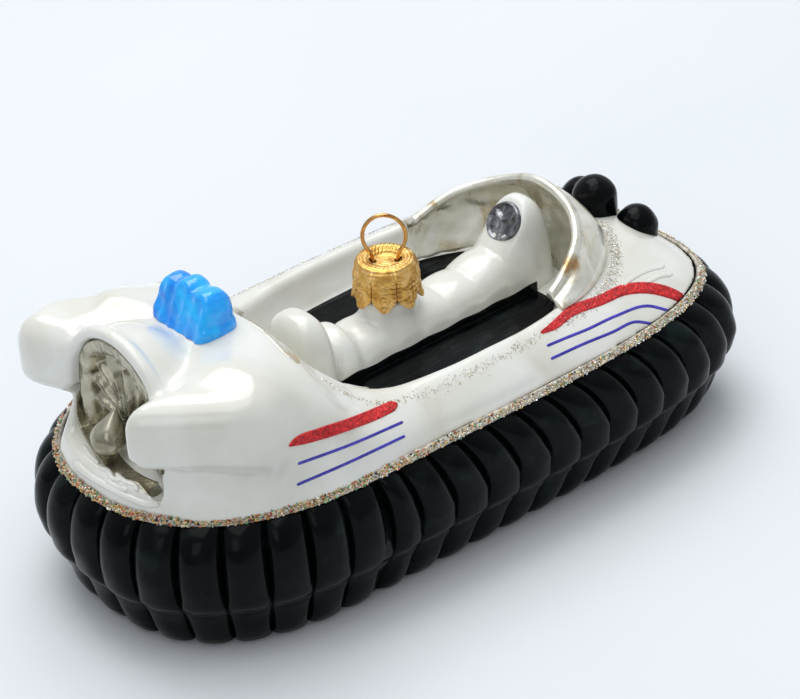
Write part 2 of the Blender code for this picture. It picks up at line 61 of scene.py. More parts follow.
def make_camera():
    data = bpy.data.cameras.new("photo_camera")
    data.sensor_width = SENSOR
    data.sensor_fit = "HORIZONTAL"
    data.lens = FOCAL_PIXELS / PHOTO_WIDTH * SENSOR
    data.clip_start = 0.01
    camera = add_object("photo_camera", data)
    axes = Matrix((RIGHT, UP, -AHEAD)).transposed().to_4x4()
    camera.matrix_world = Matrix.Translation(EYE * MM) @ axes
    bpy.context.scene.camera = camera


def sight_line(x, y):
    """Direction from the eye through a pixel of the photograph."""
    across = (x - PHOTO_WIDTH / 2) / FOCAL_PIXELS
    down = (y - PHOTO_HEIGHT / 2) / FOCAL_PIXELS
    return (AHEAD + RIGHT * across - UP * down).normalized()


make_camera()

# Plan outline of the craft, as in the frame
LENGTH = 150
BEAM = 77.4
MID_X = -30
AFT_POWER = 2.55
FORE_POWER = 4.7
SEAM_POWER = 4.2
TAPER = 0.08 / 75
SEAM_Z = 29.1
SEAM_AFT, SEAM_SIDE, SEAM_FORE = 4.9, 4.9, 5
SEAM_AFT_POWER = 2.3
RIM_Z = 37
FLOOR_TOP = 30
DUCT_Z = 45.5
DUCT_RADIUS = 12.3
DUCT_SQUASH = 1.06
DUCT_Y = 0.5
DUCT_BACK = -57.6
DUCT_MOUTH = -61.4
LOBES = 49
LOBE_STRETCH, LOBE_SKEW = 0.104, 0.017


# Curves and outlines
def curve(x, table):
    """Smooth curve through the rows (x, value) of a table, level beyond its ends."""
    knots = np.array([row[0] for row in table], float)
    values = np.array([row[1] for row in table], float)
    slopes = np.gradient(values, knots)
    x = np.clip(x, knots[0], knots[-1])
    i = np.clip(np.searchsorted(knots, x) - 1, 0, len(knots) - 2)
    width = knots[i + 1] - knots[i]
    t = (x - knots[i]) / width
    return (values[i] * (1 + 2 * t) * (1 - t) ** 2 + values[i + 1] * t * t * (3 - 2 * t)
            + width * slopes[i] * t * (1 - t) ** 2 + width * slopes[i + 1] * t * t * (t - 1))


def curves(x, rows):
    """One curve for each further column of a table whose first column is x."""
    return [curve(x, [(row[0], row[n]) for row in rows]) for n in range(1, len(rows[0]))]


def round_form(power, *shares):
    """Form with rounded corners, from the shares of its half-sizes: -1 in its middle and 0 on its edge."""
    return sum(share ** power for share in shares) ** (1 / power) - 1


def level_ring(x, y, z):
    """Ring of points at one height."""
    return np.stack(np.broadcast_arrays(x, y, z), axis=1)


def full_turn(count):
    return np.linspace(0, 2 * pi, count, endpoint=False)


def outline(angle, aft, side, fore, fore_power=FORE_POWER, aft_power=AFT_POWER):
    """Point of the plan outline at an angle, drawn in by insets at the stern, the sides and the bow."""
    cosine, sine = np.cos(angle), np.sin(angle)
    reach = np.where(cosine > 0, LENGTH / 2 - MID_X - fore, LENGTH / 2 + MID_X - aft)
    power = np.where(cosine > 0, fore_power, aft_power)
    x = MID_X + np.sign(cosine) * reach * np.abs(cosine) ** (2 / power)
    y = np.sign(sine) * (BEAM / 2 - side) * np.abs(sine) ** (2 / power)
    return x, y * (1 + TAPER * x)


def even_angles(shares):
    """Angles at these shares of the way round the widest outline, counted from the bow."""
    angles = np.linspace(0, 2 * pi, 6001)
    x, y = outline(angles, 0, 0, 0)
    run = np.concatenate([[0], np.cumsum(np.hypot(np.diff(x), np.diff(y)))])
    return np.interp(np.mod(shares, 1) * run[-1], run, angles)


def polygon_distance(x, y, points):
    """Signed distance from a closed polygon, below zero inside."""
    nearest = np.full(np.broadcast(x, y).shape, 1e9)
    inside = np.zeros(nearest.shape, bool)
    for (ax, ay), (bx, by) in zip(points, points[1:] + points[:1]):
        dx, dy = bx - ax, by - ay
        t = np.clip(((x - ax) * dx + (y - ay) * dy) / (dx * dx + dy * dy), 0, 1)
        nearest = np.minimum(nearest, np.hypot(x - ax - t * dx, y - ay - t * dy))
        if ay != by:
            inside ^= ((ay > y) != (by > y)) & (x < ax + (y - ay) * dx / dy)
    return np.where(inside, -nearest, nearest)


def soften(points, rounds=2):
    """Cuts the corners of a closed outline, so that it turns in curves."""
    for _ in range(rounds):
        cut = []
        for here, there in zip(points, points[1:] + points[:1]):
            cut.append(tuple(0.75 * a + 0.25 * b for a, b in zip(here, there)))
            cut.append(tuple(0.25 * a + 0.75 * b for a, b in zip(here, there)))
        points = cut
    return points


# Solid fields: numbers on a grid that are below zero inside a form
def join(a, b, reach):
    """Both forms together, melted into each other over a reach, as glass does."""
    h = np.clip(0.5 + 0.5 * (b - a) / reach, 0, 1)
    return b * (1 - h) + a * h - reach * h * (1 - h)


def meet(a, b, reach):
    """What both forms share, with its edges rounded over a reach."""
    return -join(-a, -b, reach)


def distance(field, step):
    """Turns any smooth field into about the distance from its surface."""
    slope = np.sqrt(sum(part ** 2 for part in np.gradient(field, step)))
    return field / np.maximum(slope, 1e-3)


def grid(low, high, step):
    """Three open coordinate arrays over a box."""
    axes = [np.arange(low[n], high[n] + step, step) for n in range(3)]
    return axes[0][:, None, None], axes[1][None, :, None], axes[2][None, None, :]


def mirrored(half, spare):
    """The whole field from its port half, which starts this many cells to starboard of the centreline."""
    return np.concatenate([half[:, :spare:-1], half[:, spare:]], axis=1)


def skin(name, field, low, step, rounds=4):
    """Mesh of quads where the field crosses zero, evened out by some rounds of smoothing."""
    inside = field < 0
    nx, ny, nz = field.shape
    corners = [(i, j, k) for i in (0, 1) for j in (0, 1) for k in (0, 1)]
    count = sum(inside[i:nx - 1 + i, j:ny - 1 + j, k:nz - 1 + k].astype(np.int8) for i, j, k in corners)
    cells = np.argwhere((count > 0) & (count < 8))
    number = np.full(count.shape, -1, np.int64)
    number[tuple(cells.T)] = np.arange(len(cells))
    value = {c: field[tuple((cells + c).T)] for c in corners}
    total, hits = np.zeros((len(cells), 3)), np.zeros(len(cells))
    unit = np.eye(3, dtype=int)
    for a in corners:
        for axis in range(3):
            if a[axis] == 0:
                b = tuple(np.array(a) + unit[axis])
                crossed = (value[a] < 0) != (value[b] < 0)
                gap = np.where(crossed, value[a] - value[b], 1)
                place = np.array(a, float) + (value[a] / gap)[:, None] * unit[axis]
                total += place * crossed[:, None]
                hits += crossed
    points = np.array(low) + step * (cells + total / hits[:, None])
    quads = []
    for axis in range(3):
        u, v = unit[(axis + 1) % 3], unit[(axis + 2) % 3]
        ends = [slice(1, n - 1) for n in field.shape]
        ends[axis] = slice(2, field.shape[axis])
        start = inside[1:-1, 1:-1, 1:-1]
        cross = np.argwhere(start != inside[tuple(ends)])
        place = cross + 1
        loop = [number[tuple((place - shift).T)] for shift in (u + v, v, 0 * u, u)]
        quad = np.stack(loop, axis=1)
        outward = start[tuple(cross.T)]
        quads.append(np.where(outward[:, None], quad, quad[:, ::-1]))
    quads = np.concatenate(quads)
    return add_mesh(name, even(points, quads, rounds), quads)


def even(points, quads, rounds):
    """Moves each point half-way to the middle of its neighbours, some times over."""
    a = quads.ravel()
    b = np.roll(quads, -1, axis=1).ravel()
    for _ in range(rounds):
        size = len(points)
        total = np.stack([np.bincount(a, points[b, n], size) + np.bincount(b, points[a, n], size)
                          for n in range(3)], axis=1)
        number = np.bincount(a, minlength=size) + np.bincount(b, minlength=size)
        points = 0.5 * points + 0.5 * total / number[:, None]
    return points


# Meshes
def add_mesh(name, points, faces, smooth=True):
    mesh = bpy.data.meshes.new(name)
    points = np.asarray(points, float) * MM
    faces = faces.tolist() if isinstance(faces, np.ndarray) else faces
    mesh.from_pydata(points.tolist(), [], faces)
    mesh.validate()
    if smooth:
        mesh.shade_smooth()
    return add_object(name, mesh)


def grid_faces(rows, columns, closed=False):
    """Quads between the points of a grid, row by row, whose columns may close into rings."""
    faces = []
    last = columns if closed else columns - 1
    for i in range(rows - 1):
        for j in range(last):
            k = (j + 1) % columns
            faces.append((i * columns + j, i * columns + k, (i + 1) * columns + k, (i + 1) * columns + j))
    return faces


def lathe(name, rings):
    """Skin over closed rings of points, all of one count, with a cap at each end."""
    rows, columns = len(rings), len(rings[0])
    faces = grid_faces(rows, columns, closed=True)
    faces.append(tuple(range(columns))[::-1])
    faces.append(tuple((rows - 1) * columns + j for j in range(columns)))
    return add_mesh(name, np.concatenate([np.asarray(ring, float) for ring in rings]), faces)


def wave(x, y, z, size, seed):
    """Soft irregular waves between -1 and 1, of about one size in millimetres."""
    k = 2 * pi / size
    return (np.sin(k * (x * 0.93 + y * 0.31 + z * 0.42) + seed)
            * np.sin(k * (y * 0.87 - x * 0.41 + z * 0.23) + 1.7 * seed)
            + np.sin(k * 0.61 * (z * 1.1 + x * 0.35 - y * 0.52) + 2.3 * seed)) * 0.5


# Hull: deck, side walls, stern deck, shoulders and duct hood as one melted skin
# Side walls: height, insets at the stern, the sides and the bow, and the squareness of the bow
WALL_LEVELS = [(29.2, 4.9, 4.9, 5.8, 4.2), (31.2, 5.2, 6.5, 8.2, 4), (33.2, 5.6, 8.2, 10.7, 3.7),
               (35, 6.2, 10.1, 13.1, 3.3), (36.4, 6.8, 12, 15.3, 3), (38, 8.2, 14.4, 19, 2.8)]
# Stern deck, from the stern: x, top, squareness of its section, and inset from the seam
STERN_STATIONS = [(-63, 52, 4, 0.4), (-56, 52.4, 4, 0.4), (-50, 53.8, 3.8, 0.4),
                  (-46, 54.7, 3.4, 0.4), (-40, 54.9, 2.9, 0.4), (-35, 53.8, 2.5, 0.4),
                  (-30, 47.6, 2.3, 0.6), (-25, 43.2, 2.2, 1), (-20, 40, 2.2, 1.8),
                  (-14, 36.4, 2.2, 3), (-8, 33.5, 2.2, 5)]
NEAR_SHOULDER = [(-48.4, 12.6), (-43, 22), (-45.6, 27.8), (-50.6, 30.6), (-54.5, 29.6), (-60, 25.4),
                 (-65, 21), (-69.2, 17.4), (-70.9, 14.8), (-69.4, 12.6), (-65, 11.6), (-57, 11.8)]
FAR_SHOULDER = [(-47, 12.6), (-45.2, 19.3), (-48.4, 23.8), (-52.4, 27.2), (-56.5, 28.6), (-60.6, 28.4),
                (-64.8, 27.2), (-66.9, 24.6), (-66.9, 21.2), (-65.3, 17.4), (-64, 14), (-62.4, 11.6),
                (-57, 11.8)]
SHOULDER_LOW, SHOULDER_HIGH = 41, 54.4
APRON_PLACES = [-16, -13.5, -12, -9, -4, 2, 8, 14]
APRON_TOPS = [32.6, 33, 34.4, 35.8, 36.6, 37, 37.4, 38.6]
HOOD = [(-62, 13.9), (-58, 13.7), (-54, 12.8), (-51, 11), (-48, 8)]
# Cockpit: height, aft and forward ends, and half-width
COCKPIT = [(28.3, -26, 43.5, 19.6), (30, -27.5, 44, 20.2), (33.5, -29.5, 45.6, 22.3),
           (37, -31, 47, 23.6), (45, -33, 47, 23.6), (60, -36.5, 47, 23.6)]
COCKPIT_POWER = 2.6
# Plane that cuts off what would show as a wall under the far shoulder
FAR_SLOPE, FAR_REACH = (-0.553, 0.745, 0.375), 59.9
HULL_STEP = 0.54
HULL_LOW, HULL_HIGH = (-74, -36.5, 27.5), (73, 36.5, 61.5)


def hull_shell_field(x, y, z):
    aft, side, fore, power = curves(z, WALL_LEVELS)
    reach = np.where(x > MID_X, LENGTH / 2 - MID_X - fore, LENGTH / 2 + MID_X - aft)
    power = np.where(x > MID_X, power, SEAM_AFT_POWER)
    half = (BEAM / 2 - side) * (1 + TAPER * x)
    ring = round_form(power, np.abs(x - MID_X) / reach, np.abs(y) / half)
    return meet(distance(ring, HULL_STEP), z - RIM_Z, 1.2)


def stern_inset(x, y, z):
    """Way in from the plan outline at the stern, in millimetres."""
    half = BEAM / 2 * (1 + TAPER * x)
    ring = round_form(AFT_POWER, np.abs(x - MID_X) / (LENGTH / 2 + MID_X), np.abs(y) / half)
    return -distance(ring + 0 * z, HULL_STEP)


def seam_half(x):
    """Half-width of the plan at the seam."""
    aft = x < MID_X
    reach = np.where(aft, LENGTH / 2 + MID_X - SEAM_AFT, LENGTH / 2 - MID_X - SEAM_FORE)
    power = np.where(aft, SEAM_AFT_POWER, SEAM_POWER)
    share = np.minimum(0.999, np.abs(x - MID_X) / reach)
    return (BEAM / 2 - SEAM_SIDE) * (1 - share ** power) ** (1 / power) * (1 + TAPER * x)


def stern_field(x, y, z):
    top, power, inset = curves(x, STERN_STATIONS)
    far = (y > 0) * np.clip((-49 - x) / 6, 0, 1)
    far = far * np.clip((z - 30.2) / 2.2, 0, 1) * np.clip((44 - z) / 2.5, 0, 1)
    half = seam_half(x) - inset - 1.2 * far
    base = SEAM_Z + 1.4
    section = round_form(power, np.abs(y) / half, np.maximum(z - base, 0) / (top - base))
    return meet(meet(distance(section, HULL_STEP), -62.4 - x, 2.2), x - 10, 1)


def shoulder_field(x, y, z):
    plan = np.where(y > 0, polygon_distance(x, y, soften(FAR_SHOULDER)),
                    polygon_distance(x, -y, soften(NEAR_SHOULDER)))
    middle = (SHOULDER_LOW + SHOULDER_HIGH) / 2
    fillet = np.where(z > middle, 5.6, 2.4)
    across, upright = plan + fillet, np.abs(z - middle) - (SHOULDER_HIGH - SHOULDER_LOW) / 2 + fillet
    return (np.minimum(np.maximum(across, upright), 0)
            + np.hypot(np.maximum(across, 0), np.maximum(upright, 0)) - fillet)


def cockpit_field(x, y, z):
    aft, fore, half = curves(z, COCKPIT)
    ring = round_form(COCKPIT_POWER, np.abs(x - (aft + fore) / 2) / ((fore - aft) / 2), np.abs(y) / half)
    return meet(distance(ring, HULL_STEP), FLOOR_TOP - 0.1 - z, 1)


def around_duct(y, z):
    """Way from the duct's axis, or from the upright through it lower down."""
    return np.hypot(y - DUCT_Y, DUCT_SQUASH * np.maximum(z - DUCT_Z, 0))


def recess_field(x, y, z):
    """Arch with upright sides, open to the stern."""
    arch = meet(around_duct(y, z) - DUCT_RADIUS + 0 * x, x - DUCT_BACK, 1)
    return meet(arch, 34.4 - z, 2)


def trough_field(inset, x, y, z):
    """Hollow behind the apron, which runs on under the near shoulder and sinks towards it."""
    top = np.interp(y, APRON_PLACES, APRON_TOPS)
    wall = np.interp(y, [-14, -8, 0, 5, 12], [7.4, 7.6, 7.8, 9, 10.4])
    side = meet(wall - inset, np.abs(y + 1.2) - 15.2, 1.5)
    side = meet(side, x + 57, 1)
    return meet(meet(side, top - 1.8 - z, 1.5), z - 43, 1)


def apron_field(inset, x, y, z):
    """What is cut off above the apron's wavy top edge, between the shoulders."""
    top = np.interp(y, APRON_PLACES, APRON_TOPS) + 0.25 * np.sin(y * 1.3) + 0.5 * (inset - 7)
    return meet(meet(top - z, np.abs(y + 0.6) - 14.8, 1), np.maximum(x + 61, z - 43), 0.6)


def build_hull():
    x, y, z = grid(HULL_LOW, HULL_HIGH, HULL_STEP)
    form = join(hull_shell_field(x, y, z), stern_field(x, y, z), 3)
    inset = stern_inset(x, y, z)
    under = meet(meet(6.9 - inset, 14.2 - np.abs(y), 1.5), np.maximum(x + 50, z - 45), 1)
    form = join(form, under, 2)
    form = meet(form, FAR_SLOPE[0] * x + FAR_SLOPE[1] * y + FAR_SLOPE[2] * z - FAR_REACH, 1)
    melt = 2 + 6.5 * np.clip((x + 60) / 11, 0, 1)
    form = join(form, shoulder_field(x, y, z), melt)
    around = around_duct(y, z)
    hood = around - curve(x, HOOD)
    hood = meet(meet(hood, DUCT_MOUTH - x, 1.6), x + 48, 1.6)
    form = join(form, hood, 2.4)
    lip = np.hypot(around - DUCT_RADIUS - 1.5, x - DUCT_MOUTH - 0.4) - 1.5
    form = join(form, meet(lip, 47 - z, 1), 1)
    form = meet(form, -recess_field(x, y, z), 1.1)
    form = meet(form, -trough_field(inset, x, y, z), 1)
    form = meet(form, -apron_field(inset, x, y, z), 0.8)
    form = meet(form, -cockpit_field(x, y, z), 1.5)
    form = form + 0.07 * wave(x, y, z, 19, 0.4) + 0.03 * wave(x, y, z, 8, 2.1)
    form = form + 0.16 * np.clip((x - 46) / 8, 0, 1) * wave(x, y, z, 8.5, 1.4)
    form = meet(form, SEAM_Z + 0.1 - z, 0.3)
    hull = skin("hull_shell", form, HULL_LOW, HULL_STEP)
    finish(hull, "pearl", "hull", "stern_shoulder_port", "stern_shoulder_starboard", "duct_hood")
    return hull


# Seat spine, roll, backrest and steering post as one melted skin
SEAT_STEP = 0.36
SEAT_LOW, SEAT_HIGH = (-27, -0.72, 28.4), (45, 11, 51)
WHEEL_CENTRE = Vector((33.6, 0, 43.8))
WHEEL_TILT = radians(36)
WHEEL_RADIUS = 4.3
CAP_X = 2.7
COLLAR_RADIUS, COLLAR_TOP = 5.5, 41.2
WHEEL_OUT = Vector((-cos(WHEEL_TILT), 0, sin(WHEEL_TILT)))


def cushion_field(x, y, z, aft, fore, half, top, power=2.6):
    base = 27
    ball = round_form(power, np.abs(x - (aft + fore) / 2) / ((fore - aft) / 2), np.abs(y) / half,
                      np.abs(z - base) / (top - base))
    return distance(ball, SEAT_STEP)


def build_seat():
    x, y, z = grid(SEAT_LOW, SEAT_HIGH, SEAT_STEP)
    rib = np.abs(np.sin(pi * (x + 8.5) / 7.5)) ** 0.7
    waist = np.clip((z - 32) / 3, 0, 1)
    top = 36.5 + 0.7 * rib + curve(x, [(14, 0), (20, 0.4), (26, 1.8), (31, 3.2)])
    half = 6.9 + 0.35 * rib * waist
    base = 27.5
    section = round_form(2.8, np.abs(y) / half, np.maximum(z - base, 0) / (top - base))
    spine = meet(distance(section, SEAT_STEP), np.maximum(-8.9 - x, x - 35), 1.5)
    roll = cushion_field(x, y, z, -16.2, -7.8, 7.5, 39.4)
    back = cushion_field(x, y, z, -24.8, -14.4, 8.4, 45.7, 2.8)
    post = cushion_field(x, y, z, 30.2, 43.2, 6.5, 48.3, 2.8)
    face = (x - WHEEL_CENTRE.x) * WHEEL_OUT.x + (z - WHEEL_CENTRE.z) * WHEEL_OUT.z
    post = meet(post, face + 0 * y, 1)
    form = join(join(spine, roll, 1.8), back, 1.8)
    form = join(form, post, 3)
    collar = meet(np.hypot(x - CAP_X, y) - COLLAR_RADIUS, z - COLLAR_TOP, 0.8)
    form = join(form, collar, 2.2)
    form = form + 0.06 * wave(x, y, z, 11, 1.2)
    form = meet(form, 29.2 - z, 0.3)
    spare = int(round(-SEAT_LOW[1] / SEAT_STEP))
    low = (SEAT_LOW[0], -(form.shape[1] - spare - 1) * SEAT_STEP, SEAT_LOW[2])
    seat = skin("seat_moulding", mirrored(form, spare), low, SEAT_STEP, rounds=3)
    finish(seat, "pearl", "seat_spine", "seat_roll", "seat_backrest", "steering_post")
    return seat


# Skirt of fat black lobes, with a sharp crease between each two and a waist low down
LOBE_COLUMNS = 20
LOBE_ROUND = 2.2
# By height: inset of the lobes, depth of the creases, lean of the lobes, and share of the inset at the bow
LOBE_INSET = [(0, 10), (0.35, 7.8), (1.4, 6.1), (3.4, 4.8), (5.9, 3.9), (7.9, 3.4), (9.2, 3),
              (10.2, 2.5), (12, 1.2), (15, 0.35), (17.6, 0), (20.5, 0.15), (23.3, 0.7), (25.6, 1.7),
              (27.2, 2.9), (28.3, 4.2), (28.9, 5.2)]
CREASE_DEPTH = [(0, 0.2), (0.5, 1.4), (2, 2.6), (5, 2.7), (8, 1.9), (10.1, 1.2), (12.4, 2.2),
                (16, 3), (22, 3.2), (25.5, 3.1), (27.5, 2.9), (28.5, 2.3), (28.9, 1.6)]
LOBE_LEAN = [(0, 0.12), (4, 0.05), (8, -0.04), (9.8, -0.13), (10.6, -0.14), (13, -0.10),
             (20, 0), (25, 0.07), (28.9, 0.14)]
BOW_SHARE = [(0, 0.75), (8, 0.8), (13, 0.9), (17, 1), (30, 1)]


def build_skirt():
    heights = np.concatenate([[0, 0.08, 0.35, 0.8], np.linspace(1.4, 9, 12), np.linspace(9.5, 12.5, 8),
                              np.linspace(13.1, 27, 22), np.linspace(27.4, 28.9, 8)])
    phase = 0.5 - 0.5 * np.cos(pi * np.arange(LOBE_COLUMNS) / LOBE_COLUMNS)
    first = (np.arange(LOBES)[:, None] + phase).ravel()
    edge = np.tile(np.abs(2 * phase - 1), LOBES)
    fold = 1 - (1 - edge ** LOBE_ROUND) ** (1 / LOBE_ROUND)
    way = 2 * pi * first / LOBES
    flank = np.clip(2 * np.sin(way), -1, 1) * 0.75 * (1 + np.cos(way))
    rings = []
    for height in heights:
        turn = 2 * pi * (first + curve(height, LOBE_LEAN) * flank) / LOBES
        shift = LOBE_STRETCH * np.sin(turn) - LOBE_SKEW * np.sin(2 * turn)
        angle = even_angles((turn - shift) / (2 * pi))
        dip = curve(height, CREASE_DEPTH) * fold
        waist = 0.3 * exp(-((height - 10.2) / 0.7) ** 2) * (1 - edge ** 4)
        swell = 0.14 * wave(first * 7, height + 0 * first, 0 * first, 9, 0.7) * min(1, height / 3)
        inset = curve(height, LOBE_INSET) + waist + 0.2 - swell * (1 - edge)
        fore = inset * curve(height, BOW_SHARE) + dip
        power = float(np.interp(height, [17, 29], [FORE_POWER, SEAM_POWER]))
        rings.append(level_ring(*outline(angle, inset + dip, inset + dip, fore, power), height))
    for inset, height in ((6.5, 28.95), (11, 28.6)):
        rings.append(level_ring(*outline(angle, inset, inset, inset, SEAM_POWER), height))
    finish(lathe("skirt_lobes", rings), "black", "skirt")


# Materials: slot, name, colour stops, scale of the clouds, range of roughness, and what else differs
LOOKS = {
    "pearl": ("pearl_glaze", "pearl_lacquer",
              [(0.32, (0.70, 0.695, 0.62)), (0.5, (0.77, 0.77, 0.71)), (0.68, (0.82, 0.825, 0.79))],
              55, (0.16, 0.30), {"coat": 0.7, "blur": 0.5, "grain": 90}),
    # Black lacquer: its grey-green palest clouds are partly its own tint and partly a painted sheen
    "black": ("black_glaze", "black_lacquer",
              [(0.35, (0.0010, 0.0016, 0.002)), (0.55, (0.002, 0.003, 0.0034)),
               (0.72, (0.006, 0.012, 0.013))],
              160, (0.10, 0.26), {"specular": 0.10, "grain": 210}),
    "silver": ("silvered_glass", "warm_silver",
               [(0.27, (0.42, 0.25, 0.10)), (0.35, (0.60, 0.53, 0.38)), (0.48, (0.78, 0.76, 0.66)),
                (0.68, (0.90, 0.89, 0.82))],
               95, (0.22, 0.40),
               {"metallic": 0.65, "coat": 0.4, "twist": 1.8, "grain": 160, "bump": 0.4}),
    "dull_silver": ("silvered_glass", "dull_silver",
                    [(0.30, (0.27, 0.24, 0.17)), (0.43, (0.37, 0.345, 0.26)), (0.57, (0.47, 0.44, 0.34)),
                     (0.72, (0.60, 0.57, 0.47))],
                    150, (0.16, 0.32), {"metallic": 0.85, "twist": 1.4, "grain": 320, "bump": 0.3}),
    # Blue lacquer: its cyan clouds are painted highlights over the blue's own tone
    "blue": ("blue_glaze", "azure_lacquer",
             [(0.34, (0, 0.19, 0.76)), (0.48, (0.002, 0.34, 0.90)), (0.66, (0.01, 0.50, 1))],
             150, (0.08, 0.2), {"coat": 0.5, "grain": 300}),
    "gold": ("gold_cap", "stamped_gold",
             [(0.30, (0.50, 0.25, 0.05)), (0.50, (0.78, 0.46, 0.13)), (0.70, (0.94, 0.64, 0.27))],
             420, (0.28, 0.46), {"metallic": 0.9, "grain": 900}),
    "copper": ("hanger_wire", "copper_gold_wire", [(0.30, (0.50, 0.25, 0.07)), (0.70, (0.85, 0.52, 0.18))],
               500, (0.14, 0.26), {"metallic": 1, "grain": 1200}),
    # Pewter: its palest clouds are painted highlights on the crumpled disc, over its own dark grey
    "pewter": ("pewter_glaze", "dark_pewter",
               [(0.32, (0.03, 0.032, 0.04)), (0.50, (0.12, 0.125, 0.14)), (0.68, (0.40, 0.41, 0.43))],
               420, (0.14, 0.3), {"metallic": 0.6, "coat": 0.6, "grain": 600, "bump": 0.4}),
    "red_glitter": ("black_glaze", "red_grains",
                    [(0.35, (0.36, 0.003, 0.006)), (0.52, (0.68, 0.008, 0.012)),
                     (0.70, (0.88, 0.04, 0.04))],
                    1400, (0.3, 0.55), {"twist": 0, "grain": 2200, "bump": 0.8}),
    "blue_ink": ("blue_glaze", "blue_ink", [(0.35, (0.035, 0.03, 0.34)), (0.65, (0.07, 0.05, 0.52))],
                 260, (0.2, 0.35), {"grain": 700}),
    "glue": ("gold_cap", "glitter_bed", [(0.35, (0.30, 0.26, 0.20)), (0.65, (0.72, 0.68, 0.60))],
             900, (0.35, 0.6), {"metallic": 0.3, "grain": 1500, "bump": 0.6}),
}
GRAIN_TINTS = [("grain_champagne", (0.86, 0.74, 0.52)), ("grain_bright", (0.92, 0.92, 0.90)),
               ("grain_amber", (0.80, 0.48, 0.14)), ("grain_rose", (0.66, 0.18, 0.10)),
               ("grain_leaf", (0.22, 0.50, 0.24)), ("grain_smoke", (0.06, 0.06, 0.06))]
for grain_name, tint in GRAIN_TINTS:
    LOOKS[grain_name] = ("gold_cap", grain_name, [(0.35, tuple(part * 0.6 for part in tint)), (0.65, tint)],
                         1100, (0.15, 0.35), {"metallic": 0.45, "grain": 1500})
MADE = {}


def shader(name, colour, roughness, metallic=0, coat=0, specular=0.5, transmission=0):
    """A new material, its node graph, its Principled shader, and object coordinates for textures."""
    made = bpy.data.materials.new(name)
    made.use_nodes = True
    graph = made.node_tree
    top = graph.nodes["Principled BSDF"]
    for socket, value in (("Base Color", (*colour, 1)), ("Roughness", roughness), ("Metallic", metallic),
                          ("Coat Weight", coat), ("Coat Roughness", 0.03), ("Specular IOR Level", specular),
                          ("Transmission Weight", transmission)):
        top.inputs[socket].default_value = value
    return made, graph, top, graph.nodes.new("ShaderNodeTexCoord").outputs["Object"]


def node(graph, kind, source, socket, result, values):
    """Output of a new node, with one input fed from a source and the other values set."""
    made = graph.nodes.new(kind)
    for name, value in values.items():
        made.inputs[name].default_value = value
    graph.links.new(source, made.inputs[socket])
    return made.outputs[result]


def noise(graph, places, scale, detail=3, roughness=0.5, distortion=0):
    return node(graph, "ShaderNodeTexNoise", places, "Vector", "Fac",
                {"Scale": scale, "Detail": detail, "Roughness": roughness, "Distortion": distortion})


def spread(graph, source, low, high, start=0.3, end=0.7):
    """Maps a source from between start and end to between low and high."""
    return node(graph, "ShaderNodeMapRange", source, "Value", "Result",
                {"From Min": start, "From Max": end, "To Min": low, "To Max": high})


def ramp(graph, source, stops):
    """Colour ramp with stops of (place, colour)."""
    made = graph.nodes.new("ShaderNodeValToRGB")
    band = made.color_ramp.elements
    while len(band) < len(stops):
        band.new(0.5)
    for element, (place, colour) in zip(band, stops):
        element.position = place
        element.color = (*colour, 1)
    graph.links.new(source, made.inputs["Fac"])
    return made.outputs["Color"]


def speckle(graph, top, places, colour):
    """Lays rare dark specks over a colour."""
    dots = node(graph, "ShaderNodeTexVoronoi", places, "Vector", "Distance", {"Scale": 130})
    both = graph.nodes.new("ShaderNodeMath")
    both.operation = "MULTIPLY"
    graph.links.new(spread(graph, dots, 1, 0, 0.03, 0.05), both.inputs[0])
    graph.links.new(spread(graph, noise(graph, places, 140, 0), 0, 0.75, 0.66, 0.70), both.inputs[1])
    mix = graph.nodes.new("ShaderNodeMix")
    mix.data_type = "RGBA"
    mix.inputs["B"].default_value = (0.16, 0.15, 0.14, 1)
    graph.links.new(both.outputs[0], mix.inputs["Factor"])
    graph.links.new(colour, mix.inputs["A"])
    graph.links.new(mix.outputs["Result"], top.inputs["Base Color"])


def mottled(name, stops, scale, rough, metallic=0, coat=0, specular=0.5, blur=0.55, twist=0.6,
            grain=150, bump=0.25):
    """Lacquer whose colour and gloss drift in soft clouds, over a slightly uneven surface."""
    made, graph, top, places = shader(name, stops[-1][1], rough[0], metallic, coat, specular)
    cloud = noise(graph, places, scale, 3, blur, twist)
    colour = ramp(graph, cloud, stops)
    graph.links.new(colour, top.inputs["Base Color"])
    graph.links.new(spread(graph, cloud, *rough), top.inputs["Roughness"])
    uneven = node(graph, "ShaderNodeBump", noise(graph, places, grain, 2), "Height", "Normal",
                  {"Strength": bump, "Distance": 0.0004})
    graph.links.new(uneven, top.inputs["Normal"])
    if name == "pearl_lacquer":
        top.inputs["Coat Roughness"].default_value = 0.14
        speckle(graph, top, places, colour)
    # Painted glow: a faint emission makes the blue lacquer shine as if lit from within
    if name == "azure_lacquer":
        top.inputs["Emission Color"].default_value = (0, 0.22, 1, 1)
        top.inputs["Emission Strength"].default_value = 0.12
    return made


def material(look):
    """The material of a look, which is made once and then shared."""
    if look not in MADE:
        _, name, stops, scale, rough, more = LOOKS[look]
        MADE[look] = mottled(name, stops, scale, rough, **more)
    return MADE[look]


def finish(piece, looks, *nodes, body="glass_body"):
    """Gives a new piece its look or looks and its body, and hides the CAD nodes that it stands for."""
    looks = [looks] if isinstance(looks, str) else looks
    piece.data.materials.clear()
    for look in looks:
        piece.data.materials.append(material(look))
    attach(piece, body)
    if nodes:
        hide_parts(*nodes)


# Sheets and marks that lie on other pieces
def solid_sheet(name, top, base, faces):
    """Closed body between two copies of a sheet, with walls along the sheet's edges."""
    shift = len(top)
    sides = {side: None for face in faces for side in zip(face, face[1:] + face[:1])}
    walls = [(b, a, a + shift, b + shift) for a, b in sides if (b, a) not in sides]
    lower = [tuple(n + shift for n in reversed(face)) for face in faces]
    return add_mesh(name, np.concatenate([top, base]), faces + lower + walls)


